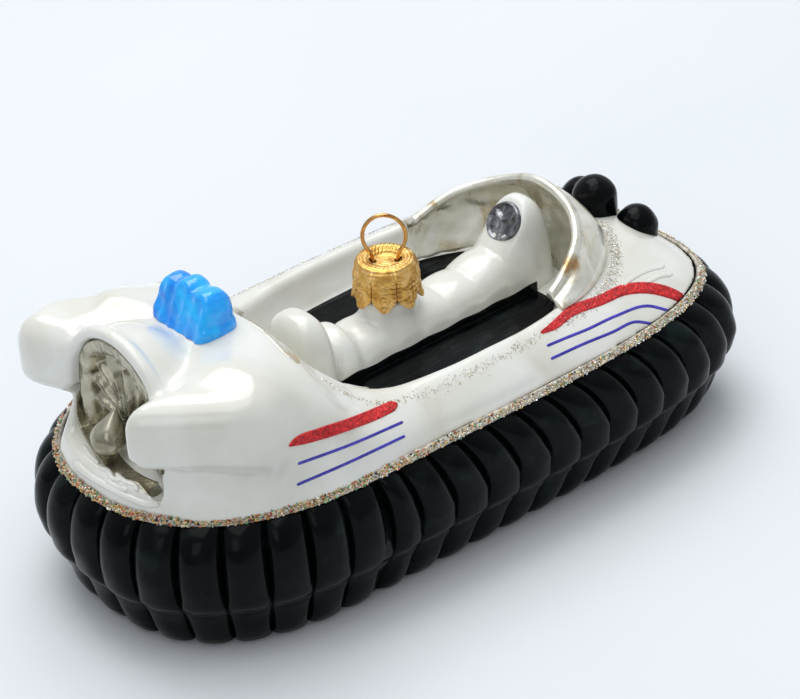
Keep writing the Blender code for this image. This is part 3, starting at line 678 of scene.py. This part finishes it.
def tree(*pieces):
    """Search tree over some pieces at their places, in metres."""
    points, faces = [], []
    for piece in pieces:
        shift = len(points)
        points += [piece.matrix_world @ vertex.co for vertex in piece.data.vertices]
        faces += [[n + shift for n in polygon.vertices] for polygon in piece.data.polygons]
    return BVHTree.FromPolygons(points, faces)


def landed(search, start, along):
    """Place and outward normal, in millimetres, where a line meets the pieces of a tree, or None."""
    place, normal, _, _ = search.ray_cast(Vector(start) * MM, Vector(along))
    if place is None:
        return None
    return place / MM, normal if normal.dot(Vector(along)) < 0 else -normal


def drape(name, search, starts, along, lift, sink=0.25, keep=None):
    """Closed skin over the places where a grid of lines lands, or over those of them that keep accepts.

    Lift is its height there. It is left open where two places are far apart.
    """
    rows, columns = starts.shape[:2]
    top, base, known = [], [], []
    for i, j in np.ndindex(rows, columns):
        hit = landed(search, starts[i, j], along[i, j])
        if hit and keep and not keep(hit[0]):
            hit = None
        known.append(hit is not None)
        place, normal = hit or (Vector((0, 0, 0)), Vector((0, 0, 1)))
        top.append(place + normal * lift[i, j])
        base.append(place - normal * sink)
    top, base = np.array(top), np.array(base)
    faces = [face for face in grid_faces(rows, columns)
             if all(known[n] for n in face) and np.ptp(top[list(face)], axis=0).max() < 4]
    first = faces[len(faces) // 2]
    a, b, c = top[list(first[:3])]
    if np.dot(np.cross(b - a, c - b), a - base[first[0]]) < 0:
        faces = [face[::-1] for face in faces]
    used = sorted({n for face in faces for n in face})
    number = {n: i for i, n in enumerate(used)}
    return solid_sheet(name, top[used], base[used], [tuple(number[n] for n in face) for face in faces])


def along_path(points, step):
    """Evenly spaced places, and their sideways directions, on a smooth path through flat points."""
    points = np.array(points, float)
    run = np.concatenate([[0], np.cumsum(np.hypot(*np.diff(points[:, :2], axis=0).T))])
    at = np.linspace(0, run[-1], max(3, int(run[-1] / step) + 1))
    places = np.stack([curve(at, list(zip(run, points[:, n]))) for n in range(points.shape[1])], axis=1)
    ways = np.gradient(places[:, :2], axis=0)
    ways /= np.linalg.norm(ways, axis=1)[:, None]
    return places, np.stack([-ways[:, 1], ways[:, 0]], axis=1)


# Windscreen: a mirrored scoop with a rolled rim, whose inner face runs on down the cockpit wall
# Rim from the middle to its port end: x, y and z, and the x and y of its foot
RIM = [(44.8, 0, 49.4, 53.4, 0), (44.9, 4.6, 48.6, 53, 4.9), (44.1, 9.1, 47.1, 51.3, 10.2),
       (42.3, 12.6, 45.8, 48.2, 14.2), (39.4, 16.1, 44.5, 44.6, 17.6), (36, 18.5, 43.3, 40.1, 20.6),
       (32.7, 19.9, 41.8, 35.4, 22.8), (29.6, 20.9, 40.2, 31, 24), (26.8, 21.4, 38.9, 26.6, 24.4)]
WALL_SPREAD, WALL_HALF = 1.036, 23.6
COAMING = [(0, 54.4), (2.3, 52.9), (6.3, 50.2), (10.6, 47.4), (13.2, 45.4), (15.5, 43.5), (18.6, 41.3),
           (21.1, 39.6), (22.5, 38.4)]
ROLL = 0.95


def wall_point(y_share, z):
    """Point of the cockpit's forward wall at a height, by its share of the half-width."""
    aft, fore, half = curves(z, COCKPIT)
    cosine = sqrt(1 - min(1, abs(y_share)) ** COCKPIT_POWER)
    x = (aft + fore) / 2 + (fore - aft) / 2 * cosine ** (2 / COCKPIT_POWER)
    return Vector((x, half * y_share, z))


def build_windscreen():
    rows = [(x, -y, z, a, -b) for x, y, z, a, b in reversed(RIM[1:])] + RIM
    rows = [(number, *row) for number, row in enumerate(rows)]
    up = Vector((0, 0, 1))
    rings = []
    for at in np.linspace(0, len(rows) - 1, 129):
        x, y, z, foot_x, foot_y = curves(at, rows)
        high = min(1, (z - RIM_Z) / 8)
        outward = Vector((foot_x - 26, foot_y * 1.2, 0)).normalized()
        foot = Vector((foot_x, foot_y, 36.75))
        roll = Vector((x, y, z)) - outward * ROLL - up * 0.6 * ROLL
        wrinkle = 0.22 * wave(at * 2.1, 0, 0, 5.2, 0.9) * high
        share = y * WALL_SPREAD / WALL_HALF
        start = roll + outward * ROLL * 0.95 - up * 0.5
        ring = []
        for t in np.linspace(0, 1, 13)[:-1]:
            bulge = 4 * t * (1 - t)
            ripple = (0.16 * sin(9 * t + 0.8 * sin(at * 1.3)) + wrinkle) * bulge
            ring.append(foot.lerp(start, t) + (outward * 1.5 + up) * bulge * high + outward * ripple)
        for turn in np.radians(np.linspace(-20, 215, 15)):
            ring.append(roll + outward * ROLL * cos(turn) + up * ROLL * sin(turn))
        inner = roll - outward * 0.45 - up * 0.75
        wall = wall_point(share, 37) - outward * 0.25
        for t in np.linspace(0, 1, 12)[1:]:
            fold = 0.2 * sin(at * 4.1 + 2.2 * t) + 0.15 * sin(at * 1.7 - 5 * t)
            ring.append(inner.lerp(wall, t) + outward * (1.3 * high + fold) * 4 * t * (1 - t))
        for level in np.linspace(36.2, 30.05, 9):
            ring.append(wall_point(share, level) - outward * (0.28 + 0.10 * sin(at * 4.1 + level)))
        for level in np.linspace(30, 35.6, 6):
            ring.append(wall_point(share, level) + outward * 0.9)
        rings.append(ring + [foot - outward * 1.2 - up * 0.5])
    screen = lathe("windscreen_scoop", rings)
    finish(screen, "silver", "windscreen")
    return screen


def build_aft_lining(search):
    """Silvered wall behind the seat, from the floor to just under the coaming."""
    angles = np.radians(np.linspace(118, 242, 111))
    starts = np.zeros((30, len(angles), 3))
    ways = np.zeros_like(starts)
    for j, angle in enumerate(angles):
        top = curve(abs(sin(angle)) * 24.5, COAMING) - 1.1
        starts[:, j] = [(-6, 0, z) for z in np.linspace(30.1, top, 30)]
        ways[:, j] = (cos(angle) * 1.25, sin(angle), 0)
    i, j = np.indices(starts.shape[:2])
    lift = 0.22 + 0.12 * wave(j * 0.55, i * 0.6, 0 * i, 5.5, 0.3)
    finish(drape("aft_lining", search, starts, ways, lift), "silver")
    paint_band("aft_silver", search, AFT_SILVER, "silver", 0.05, 0.5, 15,
               keep=lambda place: place.z > 36.5 and place.x < -14 and abs(place.y) > 6)


# Black floor strips with brush marks along them, which climb a little up the seat's foot
def build_floor(search):
    x, t = np.linspace(-17, 35.4, 150), np.linspace(0, 1, 48)[:, None]
    slant = (1 - t) ** 1.5
    outer = 19.9 * (1 - np.minimum(1, np.abs((x - 8.6) / 34)) ** COCKPIT_POWER) ** (1 / COCKPIT_POWER)
    inner = np.minimum(5.1 + 0.15 * np.sin(x * 0.7), outer - 0.4)
    y = inner + (outer - inner) * t + 15 * slant
    across = t * 14
    streak = (np.sin(across * 2.4 + 0.5 * np.sin(x * 0.21)) + 0.6 * np.sin(across * 1.1 + 0.16 * x)
              + 0.7 * np.sin(across * 5.1 + 0.9 * np.sin(x * 0.13)))
    lift = 0.12 + 0.035 * (1 + streak / 2.3) * np.minimum(1, 8 * np.minimum(t, 1 - t))
    for side, label in ((1, "port"), (-1, "starboard")):
        starts = np.stack(np.broadcast_arrays(x, side * y, 45), axis=2)
        ways = np.stack(np.broadcast_arrays(0 * x, -side * slant, -1), axis=2)
        strip = drape("floor_strip_" + label, search, starts, ways, lift, sink=0.5)
        finish(strip, "black", "floor_" + label)


# Steering wheel: a crumpled pewter disc with a raised rim
def build_wheel():
    across = Vector((0, 1, 0))
    up = WHEEL_OUT.cross(across)
    front, back = [], []
    for share in np.linspace(0, 1, 22)[1:]:
        front.append([])
        back.append([])
        for turn in full_turn(72):
            a, b = cos(turn) * share, sin(turn) * share
            rim = 0.55 * exp(-((share - 0.88) / 0.09) ** 2)
            spokes = 0.5 * exp(-(abs(sin(1.5 * turn + 0.6)) * share * 5.2) ** 2) * (share < 0.9)
            hub = 0.4 * exp(-(share / 0.28) ** 2)
            crumple = 0.22 * wave(a * 4, b * 4, 0, 2.6, 1.1) * (1 - share ** 6)
            lift = 0.25 + max(rim, spokes, hub) + crumple - 0.45 * max(0, share - 0.93) / 0.07
            place = WHEEL_CENTRE + (across * a + up * b) * WHEEL_RADIUS
            front[-1].append(place + WHEEL_OUT * lift)
            back[-1].append(place - WHEEL_OUT * 0.4)
    finish(lathe("wheel_disc", front + back[::-1]), "pewter", "steering_wheel")


# Fan recess: a silvered funnel whose crumpled vanes run down to a drop-shaped hub
HUB_TIP = Vector((-62.6, 0, 44.6))
HUB_WAY = Vector((-3.4, 0, -9))
HUB_RADII = [(0, 0.15), (0.12, 0.8), (0.28, 1.75), (0.45, 2.75), (0.6, 3.25), (0.74, 3.3), (0.86, 2.75),
             (0.94, 1.95), (0.99, 0.8), (1, 0.3)]
FUNNEL = [(0, 0), (7.2, 0.1), (8.2, 0.5), (9, 2), (9.8, 2.7), (11.2, 3.1), (15, 3.6)]


def build_recess():
    rings = np.zeros((46, 160, 3))
    radius = DUCT_RADIUS - 0.05
    for j, turn in enumerate(full_turn(160)):
        cosine, sine = cos(turn), sin(turn)
        if sine > 0:
            reach = radius / hypot(cosine, DUCT_SQUASH * sine)
        else:
            reach = min(radius / max(abs(cosine), 1e-6), 10.8 / max(-sine, 1e-6))
        for i, r in enumerate(np.linspace(0.02, 1, 46) * reach):
            y, z = r * cosine, DUCT_Z + r * sine
            inner = hypot(y - 1, max(0, z - DUCT_Z + 0.9))
            fan = atan2(y, max(z - 38, 1.2))
            ridge = (0.5 + 0.5 * cos(19 * fan + 0.7 * sin(z * 0.6) + 0.5)) ** 1.3
            fade = 1 / (1 + exp(min(60, (inner - 8.3) * 4)))
            crumple = 0.16 * wave(y * 1.9, z * 0.8, y + z, 5.5, 1.9)
            x = DUCT_BACK - 0.9 - curve(inner, FUNNEL) - 1.7 * ridge * fade - crumple
            rings[i, j] = (max(x, DUCT_MOUTH - 0.6), y + DUCT_Y, z)
    back = rings[::-1].copy()
    back[:, :, 0] = DUCT_BACK - 0.1
    finish(lathe("duct_recess", np.concatenate([rings, back])), "dull_silver", "duct_lining")


def build_hub():
    side = Vector((0, 1, 0))
    lift = HUB_WAY.normalized().cross(side)
    rings = []
    for t in 1 - (1 - np.linspace(0, 1, 30)) ** 1.3:
        ring = []
        for turn in full_turn(40):
            dent = 1 + 0.05 * sin(3 * turn + 5 * t) + 0.03 * sin(5 * turn - 3 * t)
            out = (side * cos(turn) + lift * sin(turn)) * curve(t, HUB_RADII) * dent
            ring.append(HUB_TIP + HUB_WAY * t + out)
        rings.append(ring)
    finish(lathe("fan_hub", rings), "dull_silver", "fan")


# Beacon of three lobes side by side, with a slanted aft face and a flared foot
# Each lobe's centre in y, half-sizes along x and y, and top
BEACON_LOBES = [(5, 4.2, 3.2, 62.4), (0.9, 4.8, 3.5, 63.1), (-3.9, 5, 3.9, 62.5)]


def build_beacon():
    step = 0.22
    low, high = (-50.5, -9.6, 54), (-36, 9.2, 63.6)
    x, y, z = grid(low, high, step)
    flare = round_form(3.2, np.abs(x + 43.2) / 5.4, np.abs(y - 0.1) / 7.9) + 0 * z
    flare = meet(distance(flare, step), z - 55.9, 0.8)
    lobes = []
    for centre, half_x, half_y, top in BEACON_LOBES:
        lean = 0.10 * (z - 55)
        ball = ((np.abs(x + 43.4 - lean) / half_x) ** 3 + (np.abs(y - centre) / half_y) ** 2.6
                + (np.abs(z - 53.5) / (top - 53.5)) ** 3) ** (1 / 3) - 1
        lobes.append(distance(ball, step))
    form = join(join(lobes[0], lobes[1], 1), lobes[2], 1)
    form = join(form, flare, 1.6)
    slant = 0.42 * (z - 56) - (x + 47.4) + 0.22 * np.abs(np.sin(y * 1.15 + 0.9))
    form = meet(form, slant / 1.08, 0.6)
    form = form + 0.12 * wave(x, y, z, 4.6, 0.8) + 0.06 * wave(x, y, z, 2.3, 1.3)
    form = meet(form, 54.3 - z, 0.2)
    finish(skin("beacon_lobes", form, low, step, rounds=2), "blue", "beacon")


# Three glossy domes on the bow deck: x, y, radius, foot and top
DOMES = {"centre": (58.6, 0, 4.6, 33, 44.1), "port": (62.5, 8.2, 4.3, 30.4, 38.9),
         "starboard": (62.5, -8.2, 4.3, 30.4, 38.9)}


def build_domes():
    turn = full_turn(56)
    for label, (x, y, radius, foot, top) in DOMES.items():
        shoulder = top - radius
        rows = [(radius * 1.02, foot), (radius, foot + 1), (radius, shoulder - 0.6)]
        rows += [(radius * cos(lean), shoulder + radius * sin(lean))
                 for lean in np.radians(np.linspace(0, 86, 22))]
        rings = []
        for size, z in rows:
            reach = size * (1 + 0.02 * np.sin(2 * turn + z) + 0.012 * np.sin(3 * turn - 1.7 * z))
            rings.append(level_ring(x + reach * np.cos(turn), y + reach * np.sin(turn), z))
        finish(lathe("dome_" + label, rings), "black", "bow_dome_" + label)


# Crown cap: stamped thin metal with a beaded top and eight pointed petals
CAP_PROFILE = [(0.05, 48), (2.4, 48), (2.8, 48.1), (3.4, 48.5), (4.2, 48.75), (5.2, 48.7), (5.7, 48.3),
               (6.1, 47.5), (6.4, 46.5), (6.4, 44.8), (6.5, 43.2), (6.7, 41.6), (7, 40.2)]
SLIT_ROW, PETAL_TIP = 8, 2.1
CAP_SHEET = 0.3
PETALS = 8
HANGER_ANGLE = radians(-40.7)
HOLE_OFFSET, HOLE_RADIUS = 2.5, 0.8
WIRE_RADIUS = 0.4


def bead(u, v):
    """Rows of round beads over a surface, one for each step of u and v."""
    a, b = u % 1 - 0.5, v % 1 - 0.5
    return 0.2 * sqrt(max(0, 1 - 5.2 * (a * a + b * b)))


def cap_lift(petal_u, angle, run, r):
    """Stamped relief of the cap at a place along its profile. Run is the way from the middle of the top."""
    if run < 2.7:
        return 0.04 * sin(9 * run)
    if run < 6.9:
        ring = (run - 2.7) / 0.84
        return bead(angle * (r + 0.2) / 0.84 + 0.5 * int(ring), ring)
    edge = abs(petal_u)
    if edge > 0.68:
        return bead(edge * 2.2 - 0.2, run / 0.95)
    flower = 0
    for centre, size in ((9.4, 0.42), (11.6, 0.5), (13.6, 0.5)):
        away = hypot(petal_u * 2.5, run - centre)
        flower = max(flower, 0.22 * exp(-((away - size * 1.7) / 0.28) ** 2),
                     0.26 * exp(-(away / 0.36) ** 2))
    return flower + 0.03 * sin(5 * run + 3 * petal_u)


def build_cap():
    run = [0]
    for (r0, z0), (r1, z1) in zip(CAP_PROFILE, CAP_PROFILE[1:]):
        run.append(run[-1] + hypot(r1 - r0, z1 - z0))
    places = [(way, *row) for way, row in zip(run, CAP_PROFILE)]
    end, slit_start, tip_start = run[-1], run[SLIT_ROW], run[-1] - PETAL_TIP
    steps, rows = 22, 96
    columns = PETALS * (steps + 1)
    top, base = [], []
    for along in end * np.arange(rows) / (rows - 1):
        r, z = curves(along, places)
        slope = np.subtract(curves(min(end, along + 0.05), places), curves(max(0, along - 0.05), places))
        normal_z, normal_r = slope / hypot(*slope) * (1, -1)
        half = 0.985 if along > slit_start else 1
        if along > tip_start:
            half = 0.96 - 0.78 * ((along - tip_start) / (end - tip_start)) ** 1.2
        for petal, k in np.ndindex(PETALS, steps + 1):
            u = (2 * k / steps - 1) * half
            angle = pi * (2 * petal + u) / PETALS
            lift = cap_lift(u, angle, along, r)
            if 2.7 < along < 7:
                lift = max(lift, 0)
            for points, away in ((top, lift), (base, -CAP_SHEET)):
                reach = max(0.02, r + normal_r * away)
                points.append((CAP_X + reach * cos(angle), reach * sin(angle), z + normal_z * away))
    top, base = np.array(top), np.array(base)
    holes = [(CAP_X + s * HOLE_OFFSET * cos(HANGER_ANGLE), s * HOLE_OFFSET * sin(HANGER_ANGLE))
             for s in (1, -1)]
    for points in (top, base):
        for hole in holes:
            way = points[:, :2] - hole
            away = np.hypot(*way.T)
            near = (np.abs(away - HOLE_RADIUS) < 0.13) & (points[:, 2] > 46)
            points[near, :2] = hole + way[near] * (HOLE_RADIUS / away[near])[:, None]
    faces = []
    for i, j in np.ndindex(rows - 1, columns):
        if j % (steps + 1) == steps and end * (i + 1) / (rows - 1) > slit_start:
            continue
        a, b = i * columns + j, i * columns + (j + 1) % columns
        x, y, z = top[[a, b, a + columns, b + columns]].mean(axis=0)
        if z < 46 or all(hypot(x - hx, y - hy) > HOLE_RADIUS - 0.01 for hx, hy in holes):
            faces.append((a, a + columns, b + columns, b))
    finish(solid_sheet("crown_cap", top, base, faces), "gold", "cap", body="cap")


# Wire hanger: a round loop over the cap, with two legs down into the neck
def build_hanger():
    leg = [(2.5, 40.6), (2.5, 42.5), (2.5, 44.5), (2.5, 46.5), (2.5, 48), (2.56, 48.9)]
    loop = [(4.2 * cos(turn), 53.5 + 4.6 * sin(turn)) for turn in np.radians(np.linspace(-48, 228, 61))]
    route = np.array(leg + loop + [(-u, z) for u, z in reversed(leg)])
    flow = np.gradient(route, axis=0)
    flow /= np.linalg.norm(flow, axis=1)[:, None]
    along = Vector((cos(HANGER_ANGLE), sin(HANGER_ANGLE), 0))
    side = Vector((-sin(HANGER_ANGLE), cos(HANGER_ANGLE), 0))
    rings = []
    for (u, z), (du, dz) in zip(route, flow):
        centre = Vector((CAP_X, 0, z)) + along * u
        out = along * -dz + Vector((0, 0, du))
        rings.append([centre + (out * cos(turn) + side * sin(turn)) * WIRE_RADIUS
                      for turn in full_turn(16)])
    finish(lathe("wire_hanger", rings), "copper", "hanger", body="hanger")


# Glitter: small angular grains scattered on a band, by their size, the shares of their tints, and a seed
GLITTER = {"seam_glitter_fore": (0.54, (0.46, 0.34, 0.06, 0.03, 0.07, 0.04), 11),
           "seam_glitter_aft": (0.60, (0.28, 0.16, 0.18, 0.17, 0.11, 0.10), 12),
           "fine_glitter": (0.32, (0.24, 0.74, 0.01, 0, 0.01, 0), 29)}
SEAM_LEVELS = [-1, -0.2, 0.4, 1]
SEAM_INSETS = [4.3, 4.8, 5.05, 5.25]
SEAM_HEIGHTS = [28.7, 29.1, 29.5, 30]
# Paths on the plan for the fine grains on the coaming and at the windscreen's foot
COAMING_PATH = [(-30, 20), (-24, 24), (-14, 26.4), (0, 27.2), (14, 27), (25, 26.2)]
FOOT_PATH = [(25, 26.2), (31, 25.6), (36, 24.6), (41, 22.4), (46, 19), (50.2, 14.6),
             (53.4, 9), (54.8, 4), (55.2, 0)]


def scatter(name, spots):
    """Eight-sided grains on spots, which are pairs of place and normal."""
    size, weights, seed = GLITTER[name]
    random = np.random.default_rng(seed)
    corners = np.array([(1, 0, 0), (-1, 0, 0), (0, 1, 0), (0, -1, 0), (0, 0, 1), (0, 0, -1)], float)
    sides = [(0, 2, 4), (2, 1, 4), (1, 3, 4), (3, 0, 4), (2, 0, 5), (1, 2, 5), (3, 1, 5), (0, 3, 5)]
    points, faces, tints = [], [], []
    for spot, normal in spots:
        spin, _ = np.linalg.qr(random.normal(size=(3, 3)))
        scale = size * random.uniform(0.32, 0.62, 3)
        shift = len(points)
        points.extend(np.asarray(spot) + np.asarray(normal) * size * 0.12 + (corners * scale) @ spin.T)
        turned = np.linalg.det(spin) < 0
        faces += [tuple(shift + n for n in (side[::-1] if turned else side)) for side in sides]
        tints += [int(random.choice(len(weights), p=weights))] * len(sides)
    grains = add_mesh(name, points, faces, smooth=False)
    finish(grains, [tint for tint, _ in GRAIN_TINTS])
    grains.data.polygons.foreach_set("material_index", tints)


def seam_spot(angle, v):
    """Place and outward normal on the seam band, from its top at v = 1 to its foot at v = -1."""
    inset, z = np.interp(v, SEAM_LEVELS, SEAM_INSETS), np.interp(v, SEAM_LEVELS, SEAM_HEIGHTS)
    x, y = outline(np.array([angle, angle + 0.002]), inset - 0.2, inset - 0.3, inset + 0.6, SEAM_POWER,
                   SEAM_AFT_POWER)
    flow = np.array([x[1] - x[0], y[1] - y[0]])
    flow /= np.linalg.norm(flow)
    normal = np.array([flow[1], -flow[0], 0.6])
    return np.array([x[0], y[0], z]), normal / np.linalg.norm(normal)


def build_seam():
    angles = even_angles(np.linspace(0, 1, 400, endpoint=False))
    rings = []
    for v, inner in [(v, False) for v in (-1, -0.6, -0.2, 0.2, 0.6, 1)] + [(1, True), (-1, True)]:
        for i, angle in enumerate(angles):
            place, normal = seam_spot(angle, v)
            rings.append(place + normal * (-0.7 if inner else 0.25 * (1 - v * v) + 0.06 * sin(i * 1.9)))
    columns = len(angles)
    last = len(rings) - columns
    faces = grid_faces(len(rings) // columns, columns, closed=True)
    faces += [(last + j, last + (j + 1) % columns, (j + 1) % columns, j) for j in range(columns)]
    finish(add_mesh("seam_bed", rings, faces), "glue")
    random = np.random.default_rng(7)
    fore, aft = [], []
    for angle in even_angles(random.uniform(0, 1, 6400)):
        place, normal = seam_spot(angle, np.clip(random.normal(0, 0.5), -1.15, 1.15))
        part = aft if place[0] + random.normal(0, 9) < -26 else fore
        part.append((place + normal * 0.2, normal))
    scatter("seam_glitter_fore", fore)
    scatter("seam_glitter_aft", aft)


def build_fine_glitter(search):
    random = np.random.default_rng(23)
    spots = []
    for path, number, width in ((COAMING_PATH, 1000, 0.5), (FOOT_PATH, 3400, 0.6)):
        places, ways = along_path(path, 0.25)
        for _ in range(number):
            k = int(random.integers(len(places)))
            x, y = places[k] + ways[k] * random.normal(0, width)
            y = y * (1 if random.uniform() < 0.5 else -1)
            hit = landed(search, (x, y, 70), (0, 0, -1))
            if hit:
                spots.append(hit)
    scatter("fine_glitter", spots)


# Painted marks, placed by the photograph's pixels on the near side, and a little lower on the far side
FAR_DROP = 4
REAR_RED = [(289, 446, 2), (296, 442, 8), (320, 434, 12), (350, 424, 12), (380, 412, 12), (397, 404, 10.5)]
FRONT_RED = [(541, 333, 3), (552, 327, 8), (571, 312, 10.5), (601, 300, 11), (624, 290, 11.5),
             (647, 288, 11.5), (670, 293, 11), (685, 300, 9)]
BLUE_LINES = [[(298, 464), (350, 445), (403, 422)], [(297, 485), (350, 462), (405, 436)],
              [(547, 346), (566, 338), (586, 330), (616, 316), (647, 306), (670, 311)],
              [(551, 359), (586, 343), (613, 332), (635, 322), (653, 324)]]
APRON_LIP = [(75, 462), (82, 470), (96, 480), (112, 489), (130, 498), (147, 504), (160, 504)]
APRON_FOLDS = [[(84, 446), (90, 455), (99, 464)], [(99, 468), (108, 471), (112, 478), (122, 480)],
               [(116, 474), (126, 482), (133, 484), (138, 491)], [(106, 480), (118, 488), (128, 490)]]
DECK_FOLDS = [[(622, 286), (634, 277), (648, 270), (664, 266)], [(648, 282), (660, 276), (672, 274)]]
SILVER_EDGE = [(80, 391, 8), (83, 408, 14), (87, 424, 16), (96, 440, 18), (105, 452, 20), (114, 464, 20),
               (126, 473, 16), (139, 479, 10), (149, 486, 14), (156, 490, 16), (162, 491, 9)]
AFT_SILVER = [(236, 310, 3), (249, 318, 6), (263, 325.5, 9.5), (274, 336, 10), (286, 350, 8), (299, 363, 4)]


def paint_band(name, search, path, look, grain=0, step=0.8, across=5, both=True, width=0, rise=0,
               far_from=0, keep=None):
    """Closed band along a path of pixels, with its width as the third value of each point or on its own.

    It is made on the far side too, where it starts at the pixel column far_from.
    """
    places, ways = along_path([point if len(point) > 2 else (*point, width) for point in path], step)
    random = np.random.default_rng(len(path) * 31 + int(path[0][0]))
    shares = np.linspace(-1, 1, across)[:, None]
    for side, label in ((1, "starboard"), (-1, "port"))[:2 if both else 1]:
        flip = np.array([1, side, 1])
        kept = [n for n in range(len(places)) if side > 0 or places[n][0] >= far_from]
        lines = np.zeros((across, len(kept), 3))
        for j, n in enumerate(kept):
            x, y, wide = places[n]
            end = min(j, len(kept) - 1 - j) * step
            blunt = sqrt(min(1, (end + 0.4) / max(0.6, wide / 2)))
            drop = 0 if side > 0 else FAR_DROP
            for i, share in enumerate(shares[:, 0]):
                shift = share / 2 * wide * blunt
                lines[i, j] = sight_line(x + ways[n][0] * shift, y + ways[n][1] * shift + drop)
        lift = 0.10 + rise * (1 - shares ** 2) + np.zeros(lines.shape[:2])
        if grain:
            lift += random.uniform(0, grain, lift.shape)
        lift[[0, -1]] = 0.03
        starts = np.array(EYE) * flip + 0 * lines
        finish(drape(name + "_" + label, search, starts, lines * flip, lift, keep=keep), look)


def build_milky_folds(search):
    """Squiggles on the apron, the soft lip between it and the seam, and two faint folds on the bow deck."""
    folds = [(APRON_LIP, 7, 0.5)] + [(path, 5.5, 0.25) for path in APRON_FOLDS]
    folds += [(path, 5, 0.12) for path in DECK_FOLDS]
    for number, (path, width, rise) in enumerate(folds):
        paint_band("milky_fold_%d" % number, search, path, "pearl", 0, 0.9, 9, False, width, rise)


def build_marks(search):
    paint_band("rear_red_stripe", search, REAR_RED, "red_glitter", 0.26, 1.1, 13)
    paint_band("front_red_stripe", search, FRONT_RED, "red_glitter", 0.26, 1.1, 13, far_from=592)
    for number, path in enumerate(BLUE_LINES):
        paint_band("blue_line_%d" % number, search, path, "blue_ink", width=3)


def neck_glass():
    made, graph, top, places = shader("bare_glass", (0.93, 0.95, 0.95), 0.04, transmission=0.9)
    graph.links.new(spread(graph, noise(graph, places, 200), 0.02, 0.10), top.inputs["Roughness"])
    return made


# Floor and light
SOFTBOXES = [("key_softbox", (160, 380, 900), (0, 0, 20), 700, 4.6, (1, 1, 1)),
             ("top_softbox", (-160, -60, 900), (0, 0, 20), 700, 2.4, (1, 1, 1)),
             ("window_softbox", (-560, -380, 430), (-20, 0, 25), 320, 0.35, (0.93, 0.97, 1))]
FLOOR_HALF = 3000


def build_stage():
    h = FLOOR_HALF
    floor = add_mesh("floor", [(-h, -h, 0), (h, -h, 0), (h, h, 0), (-h, h, 0)], [(0, 1, 2, 3)])
    made, graph, top, places = shader("pale_floor", (0.80, 0.83, 0.87), 0.6, specular=0.2)
    cloud = noise(graph, places, 6, 2)
    colour = ramp(graph, cloud, [(0.3, (0.74, 0.77, 0.81)), (0.7, (0.78, 0.81, 0.84))])
    graph.links.new(colour, top.inputs["Base Color"])
    floor.data.materials.append(made)


def soft_light(name, place, aim, size, power, colour):
    """Square softbox, with its place, aim and size in millimetres."""
    data = bpy.data.lights.new(name, "AREA")
    data.shape = "SQUARE"
    data.size = size * MM
    data.energy = power
    data.color = colour
    lamp = add_object(name, data)
    lamp.location = Vector(place) * MM
    lamp.rotation_euler = (Vector(aim) - Vector(place)).to_track_quat("-Z", "Y").to_euler()


def build_light():
    """Pale surroundings, darker on the viewer's side, with soft lamps behind, above and to the left."""
    world = bpy.data.worlds.new("studio")
    world.use_nodes = True
    graph = world.node_tree
    ahead = graph.nodes.new("ShaderNodeVectorMath")
    ahead.operation = "DOT_PRODUCT"
    ahead.inputs[1].default_value = (0.62, 0.72, 0.31)
    graph.links.new(graph.nodes.new("ShaderNodeTexCoord").outputs["Generated"], ahead.inputs[0])
    share = spread(graph, ahead.outputs["Value"], 0, 1, -0.7, 0.8)
    colour = ramp(graph, share, [(0, (0.44, 0.45, 0.46)), (0.45, (0.58, 0.60, 0.62)),
                                 (1, (0.80, 0.83, 0.86))])
    graph.links.new(colour, graph.nodes["Background"].inputs["Color"])
    graph.nodes["Background"].inputs["Strength"].default_value = 0.80
    bpy.context.scene.world = world
    bpy.context.scene.view_settings.view_transform = "Standard"
    for box in SOFTBOXES:
        soft_light(*box)


HULL = build_hull()
SEAT = build_seat()
build_skirt()
SCREEN = build_windscreen()
HULL_TREE = tree(HULL)
build_aft_lining(HULL_TREE)
build_floor(tree(HULL, SEAT))
build_wheel()
build_recess()
paint_band("trough_silver", HULL_TREE, SILVER_EDGE, "dull_silver", 0.08, 0.9, 15, False)
build_milky_folds(HULL_TREE)
build_hub()
build_beacon()
build_domes()
build_cap()
build_hanger()
bpy.data.objects["neck"].material_slots[0].material = neck_glass()
build_seam()
build_fine_glitter(tree(HULL, SCREEN))
build_marks(HULL_TREE)
build_stage()
build_light()
